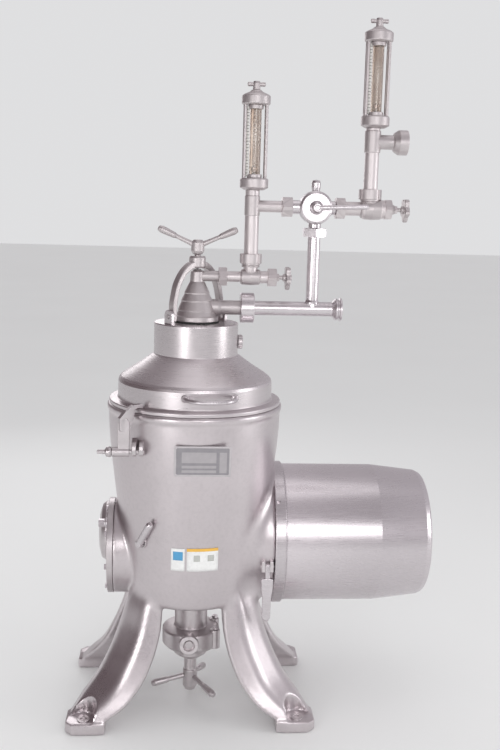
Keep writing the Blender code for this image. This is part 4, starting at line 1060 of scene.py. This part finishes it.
def make_wheel(name, node, height, gland_end):
    wheel_middle = gland_end + 0.030
    stem = [(0, wheel_middle + 0.0108), (0.0068, wheel_middle + 0.0108), (0.0098, wheel_middle + 0.006),
            (0.0098, wheel_middle - 0.012), (0.0054, wheel_middle - 0.014), (0.0054, gland_end - 0.024),
            (0, gland_end - 0.024)]
    wheel = turned(name, BLASTED, stem, (0, 0, height), "X")
    rim = slab(name + "_rim", BLASTED, star(5, 0.0323, 0.0085, 120), 0.0125, (wheel_middle, 0, height), "X", 0.003, 4)
    fuse(wheel, rim)
    stands(wheel, node, node)
    gland = nut(f"{name}_gland", BLASTED, 0.0112, gland_end + 0.0003, gland_end + 0.0070, (0, 0, height), "X",
                hole=0.0062)
    stands(gland, STAND)


def riser_nut(reach, low, high, at):
    """A round collar with two threaded rings under it."""
    profile = [(0, high), (reach, high), (reach, low), (reach - 0.0045, low), (reach - 0.0045, low - 0.004),
               (reach - 0.0070, low - 0.005), (reach - 0.0055, low - 0.007), (reach - 0.0055, low - 0.010),
               (0, low - 0.011)]
    collar = turned("n_collar", BLASTED, profile, at, radius=0.0010)
    notches = []
    for i in range(4):
        turn = Matrix.Rotation(math.pi / 2 * i + 0.6, 4, "Z")
        place = Vector(at) + turn.to_3x3() @ Vector((reach, 0, 0))
        corners = (-0.0028, -0.0035, low - 0.002), (0.0100, 0.0035, high + 0.002)
        notches.append(block("c_notch", BLASTED, *corners, place, turn, 0.0008))
    carve(collar, *notches)
    return collar


def make_cream_line():
    union = nut("cream_nut", BLASTED, 0.0270, 0.0563, 0.0780, CREAM_AT, "X", hole=0.0163)
    stands(union, STAND, "cream_union_nut")
    run = [(0, 0.188), (0.0160, 0.188), (0.0160, 0.118), (0.0138, 0.114), (0.0138, 0.0663), (0, 0.0663)]
    pipe = turned("cream_piping", BLASTED, run, CREAM_AT, "X", radius=0.002)
    swell = [(0, 0.1680), (0.0200, 0.1660), (0.0218, 0.1400), (0.0200, 0.1140), (0, 0.1120)]
    riser = [(0, 1.4007), (0.0185, 1.4007), (0.0185, 1.170), (0, 1.170)]
    branch = [(0, 0.245), (0.0150, 0.245), (0.0150, 0.135), (0, 0.135)]
    at = (CREAM_RISER_X, 0, 0)
    fuse(pipe, nut("n0", BLASTED, 0.0258, 0.1860, 0.2090, CREAM_AT, "X"),
         turned("n1", BLASTED, swell, CREAM_AT, "X", radius=0.006),
         turned("n2", BLASTED, riser, at, radius=0.001),
         riser_nut(0.0290, 1.2110, 1.2360, at),
         turned("n4", BLASTED, branch, BRANCH_AT, "X", radius=0.001),
         nut("n5", BLASTED, 0.0290, 0.2180, 0.2447, BRANCH_AT, "X"),
         turned("n6", BLASTED, [(0, 1.388), (0.0200, 1.387), (0.0200, 1.334), (0, 1.333)], at, radius=0.003))
    carve(pipe, bore(0.0062, 0.180, 0.25, CREAM_AT, "X"))
    stands(pipe, STAND, "cream_pipe")
    make_wheel("cream_wheel", "cream_handwheel", CREAM_Z, 0.209)


def make_skim_line():
    ring = [(0.0400, 0.1515), (0.0400, 0.115), (0.0203, 0.115), (0.0203, 0.1515)]
    union = turned("skim_nut", POLISHED, ring, SKIM_AT, "X", ring=True, radius=0.003)
    slots = []
    for i in range(4):
        turn = Matrix.Rotation(math.pi / 2 * i + 0.5, 4, "X")
        at = Vector(SKIM_AT) + turn.to_3x3() @ Vector((0.1333, 0, 0.040))
        slots.append(block("c_slot", POLISHED, (-0.014, -0.0045, -0.0045), (0.014, 0.0045, 0.0045), at, turn, 0.001))
    carve(union, *slots)
    stands(union, STAND, "skim_union_nut")
    run = [(0, 0.386), (0.031, 0.386), (0.031, 0.3810), (0.0265, 0.3790), (0.0265, 0.3755), (0.0290, 0.3740),
           (0.0290, 0.3700), (0.0235, 0.3640), (0.0190, 0.3600), (0.0190, 0.1367), (0, 0.1367)]
    pipe = turned("skim_piping", POLISHED, run, SKIM_AT, "X", radius=0.0015)
    at = (COCK_X, 0, 0)
    riser = [(0, 1.3070), (0.0165, 1.3070), (0.0165, 1.1180), (0.0185, 1.1120), (0.0185, SKIM_Z), (0, SKIM_Z)]
    fuse(pipe, turned("n0", POLISHED, riser, at, radius=0.002), nut("n1", POLISHED, 0.0330, 1.2840, 1.3066, at))
    carve(pipe, bore(0.0175, 0.335, 0.40, SKIM_AT, "X"))
    stands(pipe, STAND, "skim_pipe")


def make_cock():
    at = (COCK_X, 0, BRANCH_Z)
    drum = [(0, 0.026), (0.0370, 0.026), (0.043, 0.022), (0.043, -0.022), (0.0370, -0.026), (0, -0.026)]
    body = turned("cock_drum", POLISHED, drum, at, "Y", radius=0.003)
    stub = [(0, 0.072), (0.010, 0.070), (0.012, 0.064), (0.012, 0.052), (0.008, 0.030), (0, 0.030)]
    fuse(body,
         rod("p0", POLISHED, 0.0178, 0.02, COCK_X - 0.2453, at, "-X"),
         rod("p1", POLISHED, 0.0178, 0.02, 0.3587 - COCK_X, at, "X"),
         rod("p2", POLISHED, 0.0165, -(BRANCH_Z - 1.3073), -0.02, at),
         turned("p3", POLISHED, stub, at, radius=0.002))
    carve(body, bore(0.0182, -0.05, 0.05, at, "Y"))
    stands(body, STAND, "cock_body")
    plug = [(0, 0.044), (0.0060, 0.044), (0.0070, 0.046), (0.0100, 0.046), (0.0140, 0.040), (0.0175, 0.030),
            (0.0175, -0.030), (0.010, -0.034), (0, -0.034)]
    plug = turned("cock_key", POLISHED, plug, at, "-Y", radius=0.0012)
    lever = [(0, 0.1338), (0.005, 0.1338), (0.0070, 0.129), (0.0064, 0.105), (0.0058, 0.060), (0.0064, 0.006),
             (0, 0.006)]
    lever_at = (COCK_X, -0.041, BRANCH_Z)
    fuse(plug, turned("key_lever", POLISHED, lever, lever_at, (0, math.radians(87.5), 0), radius=0.002, steps=4))
    stands(plug, "cock_plug", "cock_plug")


def make_feed_line():
    run = [(0, 0.495), (0.0240, 0.495), (0.0240, 0.428), (0.018, 0.424), (0.018, 0.359), (0, 0.359)]
    pipe = turned("feed_piping", BLASTED, run, BRANCH_AT, "X", radius=0.002)
    at = (FEED_RISER_X, 0, 0)
    inlet_at = (0, 0, 1.533)
    inlet = [(0, 0.541), (0.032, 0.541), (0.032, 0.5180), (0.0240, 0.5060), (0.0185, 0.503), (0.0185, 0.445),
             (0, 0.445)]
    riser = [(0, 1.5677), (0.0185, 1.5677), (0.0185, 1.355), (0, 1.355)]
    swell = [(0, 0.4840), (0.0262, 0.4820), (0.0280, 0.4560), (0.0262, 0.4300), (0, 0.4280)]
    fuse(pipe, nut("n0", BLASTED, 0.0310, 0.3593, 0.3830, BRANCH_AT, "X"),
         nut("n1", BLASTED, 0.0288, 0.4890, 0.5070, BRANCH_AT, "X"),
         turned("n7", BLASTED, [(0, 0.516), (0.0115, 0.516), (0.0135, 0.510), (0.0135, 0.500), (0, 0.500)], BRANCH_AT,
                "X", radius=0.0012),
         turned("n2", BLASTED, swell, BRANCH_AT, "X", radius=0.006),
         turned("n3", BLASTED, riser, at, radius=0.001),
         riser_nut(0.0300, 1.3850, 1.4110, at),
         turned("n5", BLASTED, [(0, 1.562), (0.0212, 1.561), (0.0212, 1.505), (0, 1.504)], at, radius=0.003),
         turned("n6", BLASTED, inlet, inlet_at, "X", radius=0.0015))
    carve(pipe, bore(0.0165, 0.490, 0.56, inlet_at, "X"),
          bore(0.0062, 0.486, 0.56, BRANCH_AT, "X"))
    stands(pipe, STAND, "feed_pipe")
    make_wheel("feed_wheel", "feed_handwheel", BRANCH_Z, 0.516)


def make_meter(kind, at_x, base):
    at = (at_x, 0, base)
    ring = 0.037
    foot = [(0, 0.030), (ring - 0.003, 0.030), (ring, 0.027), (ring, 0.006), (0.026, 0), (0, 0)]
    cage = turned(f"{kind}_cage", BLASTED, foot, at, radius=0.002)
    top = [(0.012, 0.252), (0.018, 0.247), (0.031, 0.2412), (ring, 0.2370), (ring, 0.2170), (0.033, 0.2145),
           (0.0062, 0.2145), (0.0062, 0.252)]
    tools = [turned("t", BLASTED, top, at, ring=True, radius=0.003, steps=4)]
    for angle in (18, 162, 198, 342):
        tools.append(rod("r", BLASTED, 0.0042, 0.02, 0.222, Vector(at) + around(angle, 0.029), segments=24))
    fuse(cage, *tools)
    stands(cage, STAND, f"{kind}_meter_cage")
    tube = [(0.0150, 0.2142), (0.0150, 0.0303), (0.0115, 0.0303), (0.0115, 0.2142)]
    tube = turned(f"{kind}_glass", GLASS, tube, at, ring=True, radius=0.0004)
    stands(tube, STAND, f"{kind}_meter_glass")
    for i, (low, high) in enumerate(((0.0306, 0.040), (0.2045, 0.2141))):
        band = [(0.0195, high), (0.0195, low), (0.0153, low), (0.0153, high)]
        stands(turned(f"{kind}_gland_{i}", BLASTED, band, at, ring=True), STAND)
    bob = [(0, 0.062), (0.0085, 0.058), (0.0085, 0.050), (0.003, 0.0306), (0, 0.0306)]
    bob = turned(f"{kind}_bob", POLISHED, bob, at, radius=0.001)
    stands(bob, f"{kind}_meter_float", f"{kind}_meter_float", slot="satin_steel")
    strip = block(f"{kind}_scale", SCALE, (-0.0060, -0.0008, 0.034), (0.0060, 0.0008, 0.2105),
                  Vector(at) + Vector((-0.0225, -0.004, 0)), (0, 0, math.radians(-20)), 0.0003)
    stands(strip, STAND)
    stem = [(0, 0.2738), (0.0080, 0.2738), (0.0095, 0.268), (0.0095, 0.2526), (0.0056, 0.2526), (0.0056, 0.205),
            (0, 0.205)]
    tap = turned(f"{kind}_tap", BLASTED, stem, at)
    bar = [(0, 0.0238), (0.0052, 0.0225), (0.0056, 0.018), (0.0044, 0.0), (0.0056, -0.018), (0.0052, -0.0225),
           (0, -0.0238)]
    fuse(tap, turned("b", BLASTED, bar, (at_x, 0, base + 0.266), "X", radius=0.0015))
    stands(tap, f"{kind}_meter_tap", f"{kind}_meter_tap")


# ---------------------------------------------------------------- inside

INSIDE = {
    MACHINED: ("spindle", "worm", "bowl_body", "distributor", "disc_stack", "bowl_hood", "bowl_lock_ring",
               "wheel_shaft", "shaft_bearing_left", "shaft_bearing_right", "top_bearing", "bottom_bearing",
               "clutch_drum", "clutch_hub"),
    SATIN: ("paring_disc",),
    BRONZE: ("worm_wheel",),
    IRON: ("motor_rotor", "motor_stator", "motor_fan"),
}


def dress_inside():
    for look, nodes in INSIDE.items():
        for node in nodes:
            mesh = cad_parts[node].data
            mesh.materials.clear()
            mesh.materials.append(look)


# ---------------------------------------------------------------- studio


def make_floor():
    tree = Tree("pale_floor")
    cloud = tree.noise(0.8, 3.0)
    tree.put("Base Color", tree.mix(cloud, (0.84, 0.838, 0.835, 1), (0.87, 0.868, 0.865, 1)))
    tree.put("Roughness", tree.span(cloud, 0.55, 0.70))
    mesh = bpy.data.meshes.new("floor")
    reach = 30.0
    mesh.from_pydata([(-reach, -reach, 0), (reach, -reach, 0), (reach, reach, 0), (-reach, reach, 0)], [],
                     [(0, 1, 2, 3)])
    floor = bpy.data.objects.new("floor", mesh)
    mesh.materials.append(tree.look)
    bpy.context.scene.collection.objects.link(floor)


MIRRORED_COLOURS = (0.15, 0.115, 0.125, 1), (0.46, 0.43, 0.45, 1), (0.62, 0.60, 0.63, 1)
SEEN_COLOUR = (0.74, 0.74, 0.75, 1)


def make_world():
    """Pale for the eye; mirrored, a room that is brighter to the right and dim to the left."""
    world = bpy.data.worlds.new("studio")
    bpy.context.scene.world = world
    world.use_nodes = True
    nodes, links = world.node_tree.nodes, world.node_tree.links
    nodes.clear()
    output, place, parts, across, ramp, mirrored, seen, path, mixed = (
        nodes.new("ShaderNode" + kind) for kind in (
            "OutputWorld", "TexCoord", "SeparateXYZ", "MapRange", "ValToRGB", "Background", "Background", "LightPath",
            "MixShader")
    )
    across.inputs["From Min"].default_value = -1.0
    stops = ramp.color_ramp.elements
    stops.new(0.50)
    for stop, spot, colour in zip(stops, (0.10, 0.50, 0.95), MIRRORED_COLOURS):
        stop.position, stop.color = spot, colour
    seen.inputs["Color"].default_value = SEEN_COLOUR
    for start, end in (
        (place.outputs["Generated"], parts.inputs[0]),
        (parts.outputs["X"], across.inputs["Value"]),
        (across.outputs["Result"], ramp.inputs["Fac"]),
        (ramp.outputs["Color"], mirrored.inputs["Color"]),
        (path.outputs["Is Glossy Ray"], mixed.inputs[0]),
        (seen.outputs[0], mixed.inputs[1]),
        (mirrored.outputs[0], mixed.inputs[2]),
        (mixed.outputs[0], output.inputs["Surface"]),
    ):
        links.new(start, end)


STUDIO_AIM = Vector((0, 0, 0.8))


def softbox(name, at, size, power):
    data = bpy.data.lights.new(name, "AREA")
    data.shape = "RECTANGLE"
    data.size, data.size_y = size
    data.energy = power
    lamp = bpy.data.objects.new(name, data)
    lamp.location = at
    lamp.visible_camera = False
    lamp.rotation_euler = (STUDIO_AIM - Vector(at)).to_track_quat("-Z", "Y").to_euler()
    bpy.context.scene.collection.objects.link(lamp)


def make_lights():
    softbox("front", (0.40, -3.75, 1.75), (2.0, 0.9), 22)
    softbox("left", (-2.3, -3.4, 1.15), (1.3, 1.5), 24)
    softbox("right", (3.7, -1.0, 1.30), (1.3, 1.6), 22)
    softbox("top", (0.1, 0.1, 3.6), (2.0, 2.0), 7)
    softbox("back", (-0.8, 2.8, 1.9), (1.4, 1.4), 9)


CAMERA_AT = Vector((-0.0559, -2.5775, 1.3543))
CAMERA_YAW, CAMERA_PITCH, CAMERA_ROLL = 0.0784, math.radians(9.71), 0.0280
CAMERA_LENS, SENSOR_HEIGHT = 46.8, 36.0


def make_camera():
    """The view, turned a little to the right, tipped down, and rolled."""
    level = Vector((math.cos(CAMERA_YAW), -math.sin(CAMERA_YAW), 0))
    ahead = Vector((math.sin(CAMERA_YAW), math.cos(CAMERA_YAW), 0))
    forward = ahead * math.cos(CAMERA_PITCH) - Vector((0, 0, math.sin(CAMERA_PITCH)))
    upward = level.cross(forward)
    right = math.cos(CAMERA_ROLL) * level + math.sin(CAMERA_ROLL) * upward
    top = -math.sin(CAMERA_ROLL) * level + math.cos(CAMERA_ROLL) * upward
    data = bpy.data.cameras.new("camera")
    data.sensor_fit = "VERTICAL"
    data.sensor_height = SENSOR_HEIGHT
    data.lens = CAMERA_LENS
    camera = bpy.data.objects.new("camera", data)
    turn = Matrix((right, top, -forward)).transposed().to_4x4()
    camera.matrix_world = Matrix.Translation(ORIGIN + CAMERA_AT) @ turn
    bpy.context.scene.collection.objects.link(camera)
    bpy.context.scene.camera = camera


def main():
    for make in (
        make_casting, make_washers, make_ears, make_cover, make_plate, make_brake, make_stickers, make_motor,
        make_lever, make_housing, make_height_screw, make_hood, make_handles, make_neck_knob, make_clamps,
        make_outlet, make_bail, make_bail_screw, make_cream_line, make_skim_line, make_cock, make_feed_line,
    ):
        make()
    make_meter("cream", CREAM_RISER_X + 0.003, CREAM_METER_Z)
    make_meter("feed", FEED_RISER_X + 0.004, FEED_METER_Z)
    for dress in (dress_inside, make_floor, make_world, make_lights, make_camera):
        dress()
    bpy.context.scene.view_settings.view_transform = "Standard"


main()
